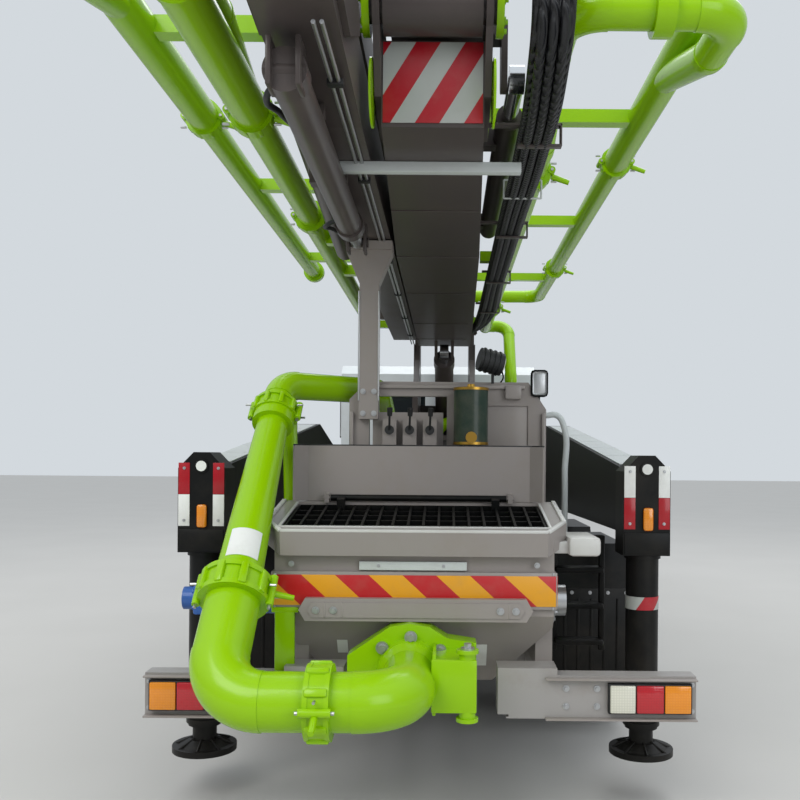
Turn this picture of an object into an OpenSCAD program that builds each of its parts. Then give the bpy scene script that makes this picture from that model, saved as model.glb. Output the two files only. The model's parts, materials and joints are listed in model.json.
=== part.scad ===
// Concrete pump truck with a four-section folding boom, three axles and swing-out legs.
// X points to the truck's right side, Y to its front and Z up. The ground is Z = 0.

/* [Truck] */
// Front face of the front bumper, ahead of the origin
front_y = 5750; // [5650:10:5900]
// Rear face of the rear bumper, behind the origin
bumper_y = 3850; // [3750:10:3900]
// Width over the rear bumper and the tyres
truck_w = 2500; // [2440:10:2550]

/* [Wheels] */
// Outer diameter of a tyre
tyre_d = 1080; // [1000:5:1090]
// Width of a tyre
tyre_w = 296; // [260:2:310]
// Diameter of the rim under the tyre
rim_d = 590; // [540:5:620]
// Front axle, ahead of the origin
front_axle_y = 4350; // [4300:10:4400]
// Middle axle, behind the origin
mid_axle_y = 450; // [400:10:600]
// Distance between the two rear axles
bogie = 1350; // [1300:10:1450]
// Distance between the two tyres of a twin wheel
twin_pitch = 335; // [325:1:360]
// Diameter of an axle tube
axle_d = 150; // [120:5:170]
// Wheel centre to steering pin
kingpin_offset = 150; // [130:5:160]

/* [Chassis] */
// Half width over the side rails
rail_x = 430; // [410:5:440]
// Flange width of a rail
rail_flange = 80; // [60:5:90]
// Plate thickness of a rail
rail_t = 10; // [8:1:14]
// Underside of the rails
rail_z = 760; // [755:5:790]
// Height of a rail
rail_h = 270; // [240:5:280]
// Height of the sub-frame on the rails
sub_h = 150; // [120:10:180]
// Height of the rear bumper beam
bumper_h = 180; // [150:5:200]
// Underside of the rear bumper beam
bumper_z = 520; // [480:10:540]

/* [Cab] */
// Length of the cab, bumper included
cab_len = 2320; // [2250:10:2340]
// Width of the cab
cab_w = 2440; // [2380:10:2460]
// Underside of the cab's floor
cab_floor_z = 1190; // [1170:5:1220]
// Top of the cab's roof
cab_roof_z = 2840; // [2760:5:2845]
// Thickness of the cab's walls and doors
cab_wall = 50; // [40:1:60]
// Height of the window sills
sill_z = 1860; // [1800:10:1900]
// Rear edge of a door, behind the cab's front face
door_rear = 1560; // [1500:10:1620]
// Length of a door
door_len = 1180; // [1100:10:1220]
// Gap round a door
door_gap = 8; // [8:1:10]
// Width of a window frame
window_frame = 110; // [90:5:140]

/* [Turret] */
// Slewing axis, ahead of the origin
slew_y = 2350; // [2330:5:2380]
// Top of the fixed half of the slewing bearing
ring_z = 1800; // [1760:5:1820]
// Diameter of the slewing bearing
ring_d = 1180; // [1100:10:1240]
// Height of one half of the slewing bearing
ring_h = 70; // [50:5:80]
// Boom hinge, ahead of the slewing axis
hinge_y = 450; // [430:5:480]
// Height of the boom hinge above the underside of section 1
hinge_up = 370; // [350:5:390]
// Diameter of the boom hinge pin
hinge_pin_d = 130; // [100:5:150]
// Thickness of a turret cheek
cheek_t = 60; // [40:5:65]

/* [Boom] */
// Underside of the lowest boom section
boom_z = 2880; // [2875:5:2890]
// Middle of the lowest section, right of the centre plane
boom_x = 50; // [45:1:55]
// Length of section 1 between its hinges
s1_len = 7550; // [7500:10:7600]
// Width of section 1 at its end
s1_w = 370; // [360:5:380]
// Height of section 1 at its end
s1_h = 310; // [290:5:315]
// Height of the first knuckle pin above the underside of section 1
k1_up = 400; // [395:1:410]
// Length of section 2 between its hinges
s2_len = 6950; // [6920:10:6980]
// Width of section 2
s2_w = 350; // [330:5:350]
// Height of section 2
s2_h = 320; // [300:5:330]
// Height of the second knuckle pin above the underside of section 1
k2_up = 620; // [610:5:630]
// Length of section 3 between its hinges
s3_len = 7840; // [7800:10:7860]
// Width of section 3
s3_w = 230; // [210:5:230]
// Height of section 3
s3_h = 260; // [240:5:270]
// Gap between the sides of section 3 and section 1
slot_gap = 10; // [8:1:14]
// Height of the third knuckle pin above the underside of section 1
k3_up = 330; // [325:1:335]
// Length of section 4
s4_len = 5950; // [5800:10:6000]
// Width of section 4
s4_w = 190; // [170:5:195]
// Height of section 4 at its knuckle
s4_h = 230; // [200:5:240]
// Height of section 4 at its tip
s4_tip_h = 140; // [120:5:160]
// Diameter of a knuckle pin
knuckle_pin_d = 100; // [80:5:110]
// Thickness of the knuckle plates
plate_t = 25; // [20:1:30]
// Outer radius of a knuckle plate at its pin
plate_r = 110; // [90:5:112]
// Outer diameter of the hollow second knuckle pin
hollow_pin_d = 200; // [190:5:210]

/* [Pipes] */
// Outer diameter of a delivery pipe
pipe_d = 133; // [120:1:134]
// Outer diameter of a pipe coupling
coupling_d = 185; // [170:5:195]
// Width of a pipe coupling
coupling_w = 70; // [50:5:90]
// Bend radius of a pipe elbow
bend_r = 150; // [140:5:155]
// Middle of the pipe beside section 1
pipe1_x = 520; // [510:5:540]
// Middle of the pipe beside section 2
pipe2_x = 1130; // [1100:5:1140]
// Middle of the pipe beside section 3
pipe3_x = 700; // [690:5:720]
// Middle of the pipe beside section 4
pipe4_x = 1130; // [1100:5:1140]

/* [Outriggers] */
// Height of a leg's arm
arm_h = 330; // [280:10:360]
// Width of a leg's arm
arm_w = 190; // [160:5:200]
// Top of an arm at its jack
arm_top = 1640; // [1600:5:1650]
// Middle of a jack, beside the centre plane
jack_x = 1110; // [1090:5:1120]
// Middle of a rear jack, behind the origin
rear_jack_y = 3350; // [3300:10:3380]
// Pivot of a rear leg, ahead of the origin
rear_pivot_y = 620; // [580:10:660]
// Middle of a front jack, ahead of the origin
front_jack_y = 1150; // [1120:10:1180]
// Pivot of a front leg, ahead of the origin
front_pivot_y = 2950; // [2900:10:2980]
// Pivots of the legs, beside the centre plane
pivot_x = 960; // [950:5:970]
// Diameter of a pivot pin
pivot_pin_d = 110; // [90:5:120]
// Outer diameter of a jack's column
column_d = 163; // [150:1:175]
// Diameter of a jack's inner leg
jack_d = 120; // [100:5:130]
// Diameter of a jack's foot
foot_d = 320; // [280:10:340]
// Underside of a jack's foot
foot_z = 200; // [180:5:240]
// Height of a jack's head plate
head_h = 500; // [460:10:520]
// Width of a jack's head plate
head_w = 234; // [210:2:240]

/* [Hopper] */
// Middle of the hopper, left of the centre plane
hopper_off = 35; // [25:1:45]
// Width over the hopper's rim
rim_w = 1440; // [1400:10:1460]
// Near edge of the rim, behind the origin
hopper_rear = 3850; // [3840:5:3870]
// Length of the rim along the truck
hopper_len = 680; // [640:10:700]
// Height of the rim's near edge
rim_z = 1350; // [1330:5:1370]
// Rise of the rim towards the front
rim_rise = 110; // [90:5:120]
// Width of the rim's flat
rim_flat = 85; // [70:5:95]
// Sheet thickness of the hopper
hopper_t = 12; // [8:1:16]
// Height of the hopper's bottom
hopper_low = 600; // [580:5:640]
// Spacing of the grate's long bars
bar_pitch = 73; // [68:1:80]
// Thickness of a grate bar
bar_t = 12; // [8:1:14]
// Height of a grate bar
bar_h = 45; // [35:1:50]
// Rows of cross bars
cross_rows = 4; // [3:1:5]
// Height of the splash guard
guard_h = 290; // [250:5:310]
// Height of the agitator's shaft
agitator_z = 1000; // [980:5:1020]
// Diameter of the agitator's shaft
agitator_d = 70; // [60:2:80]
// Reach of the agitator's blades
blade_r = 165; // [150:5:170]

/* [Delivery line] */
// Height of the outlet casting's middle
outlet_z = 730; // [720:5:740]
// Middle of the outlet elbow, behind the bumper
elbow_out = 550; // [530:5:570]
// Outer diameter of the outlet elbow
elbow_d = 235; // [210:5:240]
// From the side of the hopper's rim to the middle of the riser
riser_gap = 90; // [80:5:105]
// Height of the riser's top elbow
riser_top = 2050; // [2000:10:2060]
// Diameter of a pump cylinder
pump_d = 240; // [220:5:250]
// Length of a pump cylinder
pump_len = 1900; // [1800:10:2000]
// Distance between the two pump cylinders
pump_pitch = 290; // [270:5:300]

/* [Hidden] */
$fn = 48;
LEFT = -1;
RIGHT = 1;
SIDES = [LEFT, RIGHT];
GREEN = "#8CC800";
BOOM_GREY = "#6B6663";
HOPPER_GREY = "#9A9693";
BLACK = "#1C1E1E";
CAB_WHITE = "#D5DADB";
STEEL = "#B8BABC";
WIDE = 3000;
running = 0.05;
seat = 0.3;
elbow_extra = 6;

// Chassis
axle_z = tyre_d / 2;
rail_top = rail_z + rail_h;
sub_top = rail_top + sub_h;
rail_front_y = front_y - 450;
rail_rear_y = -bumper_y + 750;
tail_x = rim_w / 2 - 180;
riser_x = rim_w / 2 + riser_gap;
rear_axle_y = mid_axle_y + bogie;
twin_x = truck_w / 2 - tyre_w - (twin_pitch - tyre_w) / 2;
front_wheel_x = kingpin_offset + 880;

// Cab
cab_rear_y = front_y - cab_len;
cab_front_y = front_y - 90;
door_y0 = cab_front_y - door_rear;
door_y1 = door_y0 + door_len;
door_z0 = cab_floor_z + 70;
door_z1 = cab_roof_z - 170;
door_hinge_x = cab_w / 2 + 21;
door_hinge_y = door_y1 - door_gap / 2;
door_hinge_d = 30;
door_pin_d = 16;
door_hinge_z = [door_z0 + 150, sill_z - 120];

// Turret and boom hinges
h_y = slew_y + hinge_y;
hinge_z = boom_z + hinge_up;
k1_y = h_y - s1_len;
k1_z = boom_z + k1_up;
k2_y = k1_y + s2_len;
k2_z = boom_z + k2_up;
k3_y = k2_y - s3_len;
k3_z = boom_z + k3_up;
end_gap = 50;
hub_r = hinge_pin_d / 2 + 85;
k2_hub_r = hollow_pin_d / 2 + 48;

// Boom sections
s1_mid_w = s1_w + 120;
s1_left = boom_x - s1_mid_w / 2;
s1_right = s1_left + 550;
s1_top = boom_z + s1_h;
s1_end_y = k1_y + end_gap;
s1_mid_y = k1_y + 2150;
s1_root_y = k1_y + 5900;
s2_z0 = 2 * k1_z - s1_top;
s2_z1 = s2_z0 + s2_h;
s2_x0 = boom_x - s2_w / 2;
s2_x1 = boom_x + s2_w / 2;
s3_x1 = s1_left - slot_gap;
s3_x0 = s3_x1 - s3_w;
s3_x = (s3_x0 + s3_x1) / 2;
s3_top = boom_z + s3_h;
s4_x0 = s3_x - s4_w / 2;
s4_x1 = s3_x + s4_w / 2;
s4_z0 = 2 * k3_z - s3_top;
s4_tip_y = k3_y + s4_len;
neck_y = k2_y - 950;

// A block between two corners
module block(x0, x1, y0, y1, z0, z1) {
    translate([x0, y0, z0]) cube([x1 - x0, y1 - y0, z1 - z0]);
}

// A plate across the truck: its outline's points are [y, z]
module side_plate(x0, x1, outline) {
    translate([x0, 0, 0]) rotate([90, 0, 90]) linear_extrude(x1 - x0) polygon(outline);
}

// A plate along the truck: its outline's points are [x, z]
module face_plate(y0, y1, outline) {
    translate([0, y1, 0]) rotate([90, 0, 0]) linear_extrude(y1 - y0) polygon(outline);
}

// A flat plate: its outline's points are [x, y]
module flat_plate(z0, z1, outline) {
    translate([0, 0, z0]) linear_extrude(z1 - z0) polygon(outline);
}

// A round bar along X
module bar_x(x0, x1, y, z, d) {
    translate([x0, y, z]) rotate([0, 90, 0]) cylinder(d = d, h = x1 - x0);
}

// A round bar along Y
module bar_y(x, y0, y1, z, d) {
    translate([x, y1, z]) rotate([90, 0, 0]) cylinder(d = d, h = y1 - y0);
}

// A round bar between two points
module bar(p, q, d) {
    v = q - p;
    translate(p) rotate([0, acos(v.z / norm(v)), atan2(v.y, v.x)]) cylinder(d = d, h = norm(v));
}

// The same piece on both sides of the truck
module both_sides() {
    for (s = SIDES)
        mirror([s == LEFT ? 1 : 0, 0, 0]) children();
}

function unit(v) = v / norm(v);
function bend_angle(p, q, r) = acos(unit(q - p) * unit(r - q));
function trim(p, q, r, bend) = bend * tan(bend_angle(p, q, r) / 2);

// A pipe through a route's points, with thicker round elbows at the inner ones
module pipe_run(route, d, bend) {
    last = len(route) - 1;
    for (i = [0:last - 1]) {
        u = unit(route[i + 1] - route[i]);
        start = i == 0 ? 0 : trim(route[i - 1], route[i], route[i + 1], bend);
        stop = i == last - 1 ? 0 : trim(route[i], route[i + 1], route[i + 2], bend);
        bar(route[i] + max(0, start - 1) * u, route[i + 1] - max(0, stop - 1) * u, d);
    }
    for (i = [1:last - 1]) {
        u = unit(route[i] - route[i - 1]);
        w = unit(route[i + 1] - route[i]);
        inward = unit(w - (w * u) * u);
        x = -inward;
        z = cross(x, u);
        centre = route[i] - trim(route[i - 1], route[i], route[i + 1], bend) * u + bend * inward;
        multmatrix([[x.x, u.x, z.x, centre.x], [x.y, u.y, z.y, centre.y], [x.z, u.z, z.z, centre.z]])
            rotate_extrude(angle = bend_angle(route[i - 1], route[i], route[i + 1]))
                translate([bend, 0]) circle(d = d + elbow_extra);
    }
}

// A coupling ring round a pipe at p, along the direction v
module coupling(p, v) {
    bar(p - unit(v) * coupling_w / 2, p + unit(v) * coupling_w / 2, coupling_d);
}

// One C-shaped rail, seen from the end, with its web outside
module rail() {
    difference() {
        block(rail_x - rail_flange, rail_x, rail_rear_y, rail_front_y, rail_z, rail_top);
        block(rail_x - rail_flange - 1, rail_x - rail_t, rail_rear_y - 1, rail_front_y + 1,
            rail_z + rail_t, rail_top - rail_t);
    }
}

// Two rails with cross members and sub-frame, and the tail members that carry hopper and bumper
module chassis() {
    cross_y = [rail_rear_y + 60, -1150, 250, 1500, 2900, rail_front_y - 60];
    tail_top = bumper_z + bumper_h - 8;
    color(HOPPER_GREY) {
        both_sides() {
            rail();
            block(rail_x - rail_flange, rail_x, rail_rear_y, slew_y + 900, rail_top, sub_top);
            block(rail_x - rail_flange, tail_x + 80, rail_rear_y, rail_rear_y + 60, bumper_z + 40,
                rail_top);
            block(tail_x, tail_x + 80, -bumper_y + 20, rail_rear_y + 60, bumper_z + 40, tail_top);
            block(tail_x - 190, tail_x + 80, -bumper_y, -bumper_y + 150, bumper_z + 10,
                bumper_z + bumper_h + 40);
            block(rail_x - 20 - rail_t, truck_w / 2, -bumper_y, -bumper_y + 80, bumper_z,
                bumper_z + bumper_h);
            block(rail_x - 40, truck_w / 2, -bumper_y, -bumper_y + 100, bumper_z + bumper_h,
                bumper_z + bumper_h + 8);
            block(rail_x - 40, truck_w / 2, -bumper_y, -bumper_y + 100, bumper_z - 8, bumper_z);
        }
        for (y = cross_y)
            block(rail_t - rail_x, rail_x - rail_t, y - 50, y + 50, rail_z + rail_t, rail_z + rail_t + 50);
        block(-rail_x, rail_x, slew_y - 700, slew_y + 900, sub_top - 20, sub_top);
    }
}

// A round axle tube with its final drive and spring seats
module drive_axle(y) {
    bar_x(-twin_x - 130, twin_x + 130, y, axle_z, axle_d);
    bar_y(0, y - 120, y + 140, axle_z, 400);
    both_sides() {
        block(rail_x - 85, rail_x + 15, y - 90, y + 90, axle_z + axle_d / 2 - 20, rail_z - 65);
    }
}

// The front beam, the two driven axles and their leaf springs
module axles() {
    color(BLACK) {
        drive_axle(-mid_axle_y);
        drive_axle(-rear_axle_y);
        bar_y(0, -rear_axle_y + 100, -mid_axle_y - 100, axle_z, 80);
        both_sides() {
            block(rail_x - 80, rail_x + 10, -rear_axle_y - 250, -mid_axle_y + 250, rail_z - 65,
                rail_z - seat);
            block(rail_x - 80, rail_x + 10, front_axle_y - 850, front_axle_y + 850, rail_z - 65,
                rail_z - seat);
            block(rail_x - 80, rail_x + 10, front_axle_y - 90, front_axle_y + 90, axle_z - 80, rail_z - 65);
        }
        beam_end = front_wheel_x - kingpin_offset - 95;
        block(-beam_end, beam_end, front_axle_y - 60, front_axle_y + 60, axle_z - 140, axle_z - 20);
        both_sides()
            bar([front_wheel_x - kingpin_offset, front_axle_y, axle_z - 60],
                [front_wheel_x - kingpin_offset, front_axle_y, axle_z + 60], 110);
        both_sides()
            block(beam_end - 5, front_wheel_x - kingpin_offset, front_axle_y - 50, front_axle_y + 50,
                axle_z - 60, axle_z - 20);
    }
}

// The engine and gearbox as one heavy block between the rails, with the shaft to the axles
module engine() {
    inner = rail_x - rail_flange - 20;
    color(STEEL) {
        both_sides()
            for (y = [cab_rear_y + 200, cab_front_y - 1000])
                block(inner - 1, rail_x - 20, y, y + 80, rail_top + seat, rail_top + 60);
        block(-inner, inner, cab_rear_y + 150, cab_front_y - 850, rail_z - 120, cab_floor_z - 30);
        bar([0, -mid_axle_y + 142.2, axle_z], [0, cab_rear_y + 151, rail_z - 70], 90);
    }
}

// A steering knuckle: its fork round the pin, and its stub axle
module knuckle(side) {
    x = front_wheel_x - kingpin_offset;
    color(BLACK)
        mirror([side == LEFT ? 1 : 0, 0, 0]) {
            difference() {
                union() {
                    for (z = [-115, 60.3])
                        translate([x, front_axle_y, axle_z + z]) cylinder(d = 130, h = 54);
                    block(x + 62, x + 100, front_axle_y - 65, front_axle_y + 65, axle_z - 115, axle_z + 114);
                    block(x, x + 70, front_axle_y - 60, front_axle_y + 60, axle_z - 115, axle_z - 61.1);
                    block(x, x + 70, front_axle_y - 60, front_axle_y + 60, axle_z + 60.3, axle_z + 114);
                }
                translate([x, front_axle_y, axle_z - 61]) cylinder(d = 120, h = 121.2);
            }
            bar_x(x + 95, front_wheel_x + 120, front_axle_y, axle_z, 80);
        }
}

// A tyre on its side: a revolved section with round shoulders
module tyre(x, y) {
    r = tyre_d / 2;
    in = rim_d / 2;
    w = tyre_w / 2;
    translate([x, y, axle_z]) rotate([0, 90, 0])
        rotate_extrude($fn = 96)
            polygon([[in, -w * 0.75], [in + 40, -w * 0.92], [(in + r) / 2, -w], [r - 45, -w * 0.93],
                [r - 12, -w * 0.8], [r, -w * 0.6], [r, w * 0.6], [r - 12, w * 0.8], [r - 45, w * 0.93],
                [(in + r) / 2, w], [in + 40, w * 0.92], [in, w * 0.75]]);
}

// A rim with its dished disc, open at its middle for the hub
module rim(x, y, disc, bore) {
    r = rim_d / 2;
    w = tyre_w * 0.39;
    translate([x, y, axle_z]) rotate([0, 90, 0]) {
        difference() {
            cylinder(r = r + 2, h = 2 * w, center = true);
            cylinder(r = r - 14, h = 2 * w + 2, center = true);
        }
        translate([0, 0, disc]) difference() {
            cylinder(r = r - 10, h = 16, center = true);
            cylinder(d = bore, h = 20, center = true);
            for (a = [0:36:359])
                rotate(a) translate([r * 0.72, 0, 0]) cylinder(d = 48, h = 20, center = true);
        }
        if (abs(disc) > w)
            translate([0, 0, disc > 0 ? w - 15 : disc]) difference() {
                cylinder(r = r - 10, h = abs(disc) - w + 15);
                translate([0, 0, -1]) cylinder(r = r - 26, h = abs(disc) - w + 17);
            }
    }
}

// A front wheel: tyre, rim and hub
module front_wheel(side) {
    color(BLACK) mirror([side == LEFT ? 1 : 0, 0, 0]) {
        x = front_wheel_x;
        tyre(x, front_axle_y);
        rim(x, front_axle_y, tyre_w * 0.2, 190);
        difference() {
            bar_x(x - 20, x + 140, front_axle_y, axle_z, 200);
            bar_x(x - 21, x + 120 + 5, front_axle_y, axle_z, 80 + 2 * running);
        }
    }
}

// A twin wheel on a driven axle, with its long hub
module twin_wheel(side, y) {
    color(BLACK) mirror([side == LEFT ? 1 : 0, 0, 0]) {
        for (s = SIDES) {
            x = twin_x + s * twin_pitch / 2;
            tyre(x, y);
            rim(x, y, -s * (twin_pitch / 2 - 10), 210);
        }
        difference() {
            bar_x(twin_x - 60, twin_x + 170, y, axle_z, 220);
            bar_x(twin_x - 61, twin_x + 130 + 5, y, axle_z, axle_d + 2 * running);
        }
    }
}

// The cab's side outline, drawn in by the depth in
function cab_side(in) = [[cab_rear_y + in, cab_floor_z + in], [cab_front_y - in, cab_floor_z + in],
    [cab_front_y - in, sill_z], [cab_front_y - 150 - in, cab_roof_z - 170],
    [cab_front_y - 330 - in, cab_roof_z - in], [cab_rear_y + 130 + in, cab_roof_z - in],
    [cab_rear_y + in, cab_roof_z - 110 - in]];

// A door's outline, drawn in by the depth in
function door_outline(in) = [[door_y0 + in, door_z0 + in], [door_y1 - in, door_z0 + in],
    [door_y1 - in, sill_z + 100], [door_y1 - 110 - in, door_z1 - in], [door_y0 + 40 + in, door_z1 - in],
    [door_y0 + in, door_z1 - 60 - in]];

// A door window's outline
function window_outline() = [[door_y0 + window_frame, sill_z], [door_y1 - window_frame, sill_z],
    [door_y1 - window_frame, sill_z + 150], [door_y1 - 110 - window_frame, door_z1 - window_frame],
    [door_y0 + 30 + window_frame, door_z1 - window_frame]];

// The hollow cab with its windscreen and door openings cut, and the door hinges' pins
module cab_shell() {
    half = cab_w / 2;
    y = door_hinge_y;
    color(CAB_WHITE) both_sides()
        for (z = door_hinge_z) {
            for (low = [z - 30, z + 65])
                block(half - 1, door_hinge_x, y + door_gap, y + 60, low, low + 25);
            for (low = [z - 30, z + 65])
                translate([door_hinge_x, y, low]) cylinder(d = door_hinge_d, h = 25);
            translate([door_hinge_x, y, z - 6]) cylinder(d = door_pin_d, h = 72);
        }
    color(CAB_WHITE) difference() {
        side_plate(-half, half, cab_side(0));
        side_plate(cab_wall - half, half - cab_wall, cab_side(cab_wall));
        block(110 - half, half - 110, cab_front_y - 420, cab_front_y + 10, sill_z - 70, cab_roof_z - 240);
        both_sides()
            side_plate(half - cab_wall - 1, half + 1, door_outline(0));
        for (s = SIDES)
            block(s * 420 - 260, s * 420 + 260, cab_rear_y - 1, cab_rear_y + cab_wall + 1, sill_z + 60,
                cab_roof_z - 280);
    }
}

// A door as thick as the wall, with its window cut and its two hinges
module door(side) {
    half = cab_w / 2;
    y = door_hinge_y;
    color(CAB_WHITE) mirror([side == LEFT ? 1 : 0, 0, 0])
        difference() {
            union() {
                side_plate(half - cab_wall, half, door_outline(door_gap));
                for (z = door_hinge_z) {
                    block(half - 1, door_hinge_x, y - 60, y - door_gap, z, z + 60);
                    translate([door_hinge_x, y, z]) cylinder(d = door_hinge_d, h = 60);
                }
            }
            side_plate(half - cab_wall - 1, half + 1, window_outline());
            for (z = door_hinge_z)
                translate([door_hinge_x, y, z - 1]) cylinder(d = door_pin_d + 2 * running, h = 62);
        }
}

// Bumper, grille panel, steps and mirrors
module cab_trim() {
    half = cab_w / 2;
    color(BLACK) {
        flat_plate(380, 720, [[-half, front_y - 700], [-half, front_y - 160], [120 - half, front_y],
            [half - 120, front_y], [half, front_y - 160], [half, front_y - 700], [half - 60, front_y - 700],
            [half - 60, front_y - 190], [half - 150, front_y - 70], [150 - half, front_y - 70],
            [60 - half, front_y - 190], [60 - half, front_y - 700]]);
        block(150 - half, half - 150, cab_front_y - 130, cab_front_y - 10, 719, cab_floor_z - seat);
        both_sides() {
            block(half - 60, half, front_y - 700, front_y - 190, 719, cab_floor_z - seat);
            for (z = [440, 740, 1020])
                block(half - 300, half - 59, front_y - 690, front_y - 280, z, z + 30);
            block(rail_x - rail_flange, rail_x, rail_front_y + seat, cab_front_y - 100, rail_z + 20,
                rail_top - 20);
            block(rail_x - rail_flange, rail_x, cab_front_y - 120, front_y - 60, rail_z - 120,
                rail_z + 40);
            bar_x(half + seat, half + 150, cab_front_y - 210, 2560, 30);
            bar_x(half + seat, half + 150, cab_front_y - 210, 2000, 30);
            block(half + 80, half + 250, cab_front_y - 240, cab_front_y - 170, 1960, 2600);
        }
    }
}

// Two seats, the dashboard and the steering wheel
module cab_seats() {
    floor_z = cab_floor_z + cab_wall + seat;
    color(BLACK) {
        for (s = SIDES) {
            side_plate(s * 600 - 250, s * 600 + 250, [[door_y0 + 60, floor_z], [door_y0 + 560, floor_z],
                [door_y0 + 600, floor_z + 430], [door_y0 + 570, floor_z + 480],
                [door_y0 + 150, floor_z + 470], [door_y0 + 20, floor_z + 1050],
                [door_y0 - 90, floor_z + 1040], [door_y0 + 20, floor_z + 430]]);
        }
        side_plate(cab_wall + 40 - cab_w / 2, cab_w / 2 - cab_wall - 40, [[cab_front_y - 350, floor_z],
            [cab_front_y - cab_wall - 60, floor_z], [cab_front_y - cab_wall - 60, sill_z - 120],
            [cab_front_y - 250, sill_z - 110], [cab_front_y - 420, sill_z - 200],
            [cab_front_y - 420, sill_z - 330]]);
        translate([-600, cab_front_y - 560, sill_z - 90]) rotate([25, 0, 0]) {
            rotate_extrude() translate([210, 0]) circle(d = 32);
            cube([410, 40, 20], center = true);
        }
        bar([-600, cab_front_y - 400, sill_z - 290], [-600, cab_front_y - 560, sill_z - 90], 60);
    }
}

// Fuel tank on the left, water tank and air tanks on the right
module tanks() {
    color(STEEL) {
        side_plate(-1150, -480, [[1500, 520], [1540, 480], [2960, 480], [3000, 520], [3000, 1040],
            [2960, 1080], [1540, 1080], [1500, 1040]]);
        side_plate(640, 1150, [[2150, 500], [3000, 500], [3000, 1100], [2150, 1100]]);
        for (z = [640, 930]) {
            bar_y(900, 1480, 2080, z, 240);
            block(rail_x + seat, 800, 1700, 1760, z - 20, z + 20);
        }
        block(rail_x + seat, rail_x + 45, 1700, 1760, 620, 950);
        block(rail_x + seat, 641, 2400, 2500, 800, 900);
        block(rail_x + seat, 641, 2750, 2850, 800, 900);
        block(-481, -rail_x - seat, 1800, 1900, 800, 900);
        block(-481, -rail_x - seat, 2600, 2700, 800, 900);
    }
}

deck_z = sub_top + 80;
deck_x = pivot_x - arm_w / 2 - 60;
pivot_z0 = deck_z + 50;
pivot_z1 = ring_z - ring_h - 10;
pedestal_half = 500;

// Walkway on stringers over the pump, and the mudguards of the rear wheels
module deck() {
    front = rear_pivot_y + 550;
    rear = -rear_jack_y + 500;
    color(STEEL) {
        both_sides() {
            block(rail_x - 60, deck_x, rear, front, deck_z - 20, deck_z);
            block(rail_x - 60, rail_x - 20, rear, front, sub_top + seat, deck_z - 20);
            for (y = [-mid_axle_y, -rear_axle_y])
                side_plate(twin_x - twin_pitch / 2 - tyre_w / 2 - 20, truck_w / 2 - 10,
                    [[y - 640, 900], [y - 610, 890], [y - 420, axle_z * 2 + 50], [y + 420, axle_z * 2 + 50],
                    [y + 610, 890], [y + 640, 900], [y + 440, axle_z * 2 + 75], [y - 440, axle_z * 2 + 75]]);
            for (y = [-mid_axle_y - 200, -mid_axle_y + 250, -rear_axle_y - 200, -rear_axle_y + 250])
                block(rail_x + seat, truck_w / 2 - 300, y, y + 40, axle_z * 2 + 70, axle_z * 2 + 100);
            block(rail_x + seat, rail_x + 40, -rear_axle_y - 200, -mid_axle_y + 290, axle_z * 2 + 70,
                deck_z - 20);
        }
    }
}

// The lugs and the box beam that carry one leg's pivot
module leg_bracket(y, base_y0, base_y1) {
    in_x = pedestal_half - 20;
    arm_t = 0.68;
    web = [[in_x, base_y0 + 40], [in_x + arm_t * (pivot_x - in_x), base_y0 + arm_t * (y - 60 - base_y0)],
        [in_x + arm_t * (pivot_x - in_x), base_y1 + arm_t * (y + 60 - base_y1)], [in_x, base_y1 - 40]];
    plate = [[in_x, base_y0], [pivot_x - 30, y - 100], [pivot_x + 30, y + 100], [in_x, base_y1]];
    flat_plate(pivot_z0 - 1, pivot_z1 + 1, web);
    for (z = [pivot_z0 - 45, pivot_z1]) {
        flat_plate(z, z + 45, plate);
        translate([pivot_x, y, z]) cylinder(d = 2 * pivot_pin_d, h = 45);
    }
    translate([pivot_x, y, pivot_z0 - 1]) cylinder(d = pivot_pin_d, h = pivot_z1 - pivot_z0 + 2);
}

// The fixed base of the turret with the four legs' brackets
module pedestal() {
    rear = slew_y - 700;
    front = slew_y + 720;
    color(BOOM_GREY) {
        block(-pedestal_half, pedestal_half, rear, front, sub_top, ring_z - ring_h);
        translate([0, slew_y, ring_z - ring_h - 1]) cylinder(d = ring_d, h = ring_h + 1);
        both_sides() {
            leg_bracket(front_pivot_y, front - 420, front);
            block(pedestal_half - 120, pedestal_half - 10, rear_pivot_y + 560, rear + 1, sub_top,
                pivot_z1 + 45);
            leg_bracket(rear_pivot_y, rear_pivot_y + 600, rear);
        }
    }
}

base_z = ring_z + ring_h + 50;
cheek_gap = 10;
luff_y = slew_y + 350;
luff_z = ring_z + 350;
luff_x = boom_x + 30;
eye_y = h_y - 1350;
eye_z = boom_z - 100;
luff_dir = unit([0, eye_y - luff_y, eye_z - luff_z]);
luff_len = norm([0, eye_y - luff_y, eye_z - luff_z]);
luff_neck = 90;
luff_lug = 70;
luff_bore = 120;
luff_tube = 200;
link_clear = 10;

// A cheek of the turret, from its base up to the boom hinge
module cheek(x0, x1) {
    side_plate(x0, x1, [[slew_y - 620, base_z - 1], [slew_y + 750, base_z - 1], [h_y + 220, base_z + 500],
        [h_y + 165, hinge_z], [h_y - 165, hinge_z], [h_y - 250, boom_z - 60], [slew_y - 480, base_z + 420]]);
    bar_x(x0, x1, h_y, hinge_z, 340);
}

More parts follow.
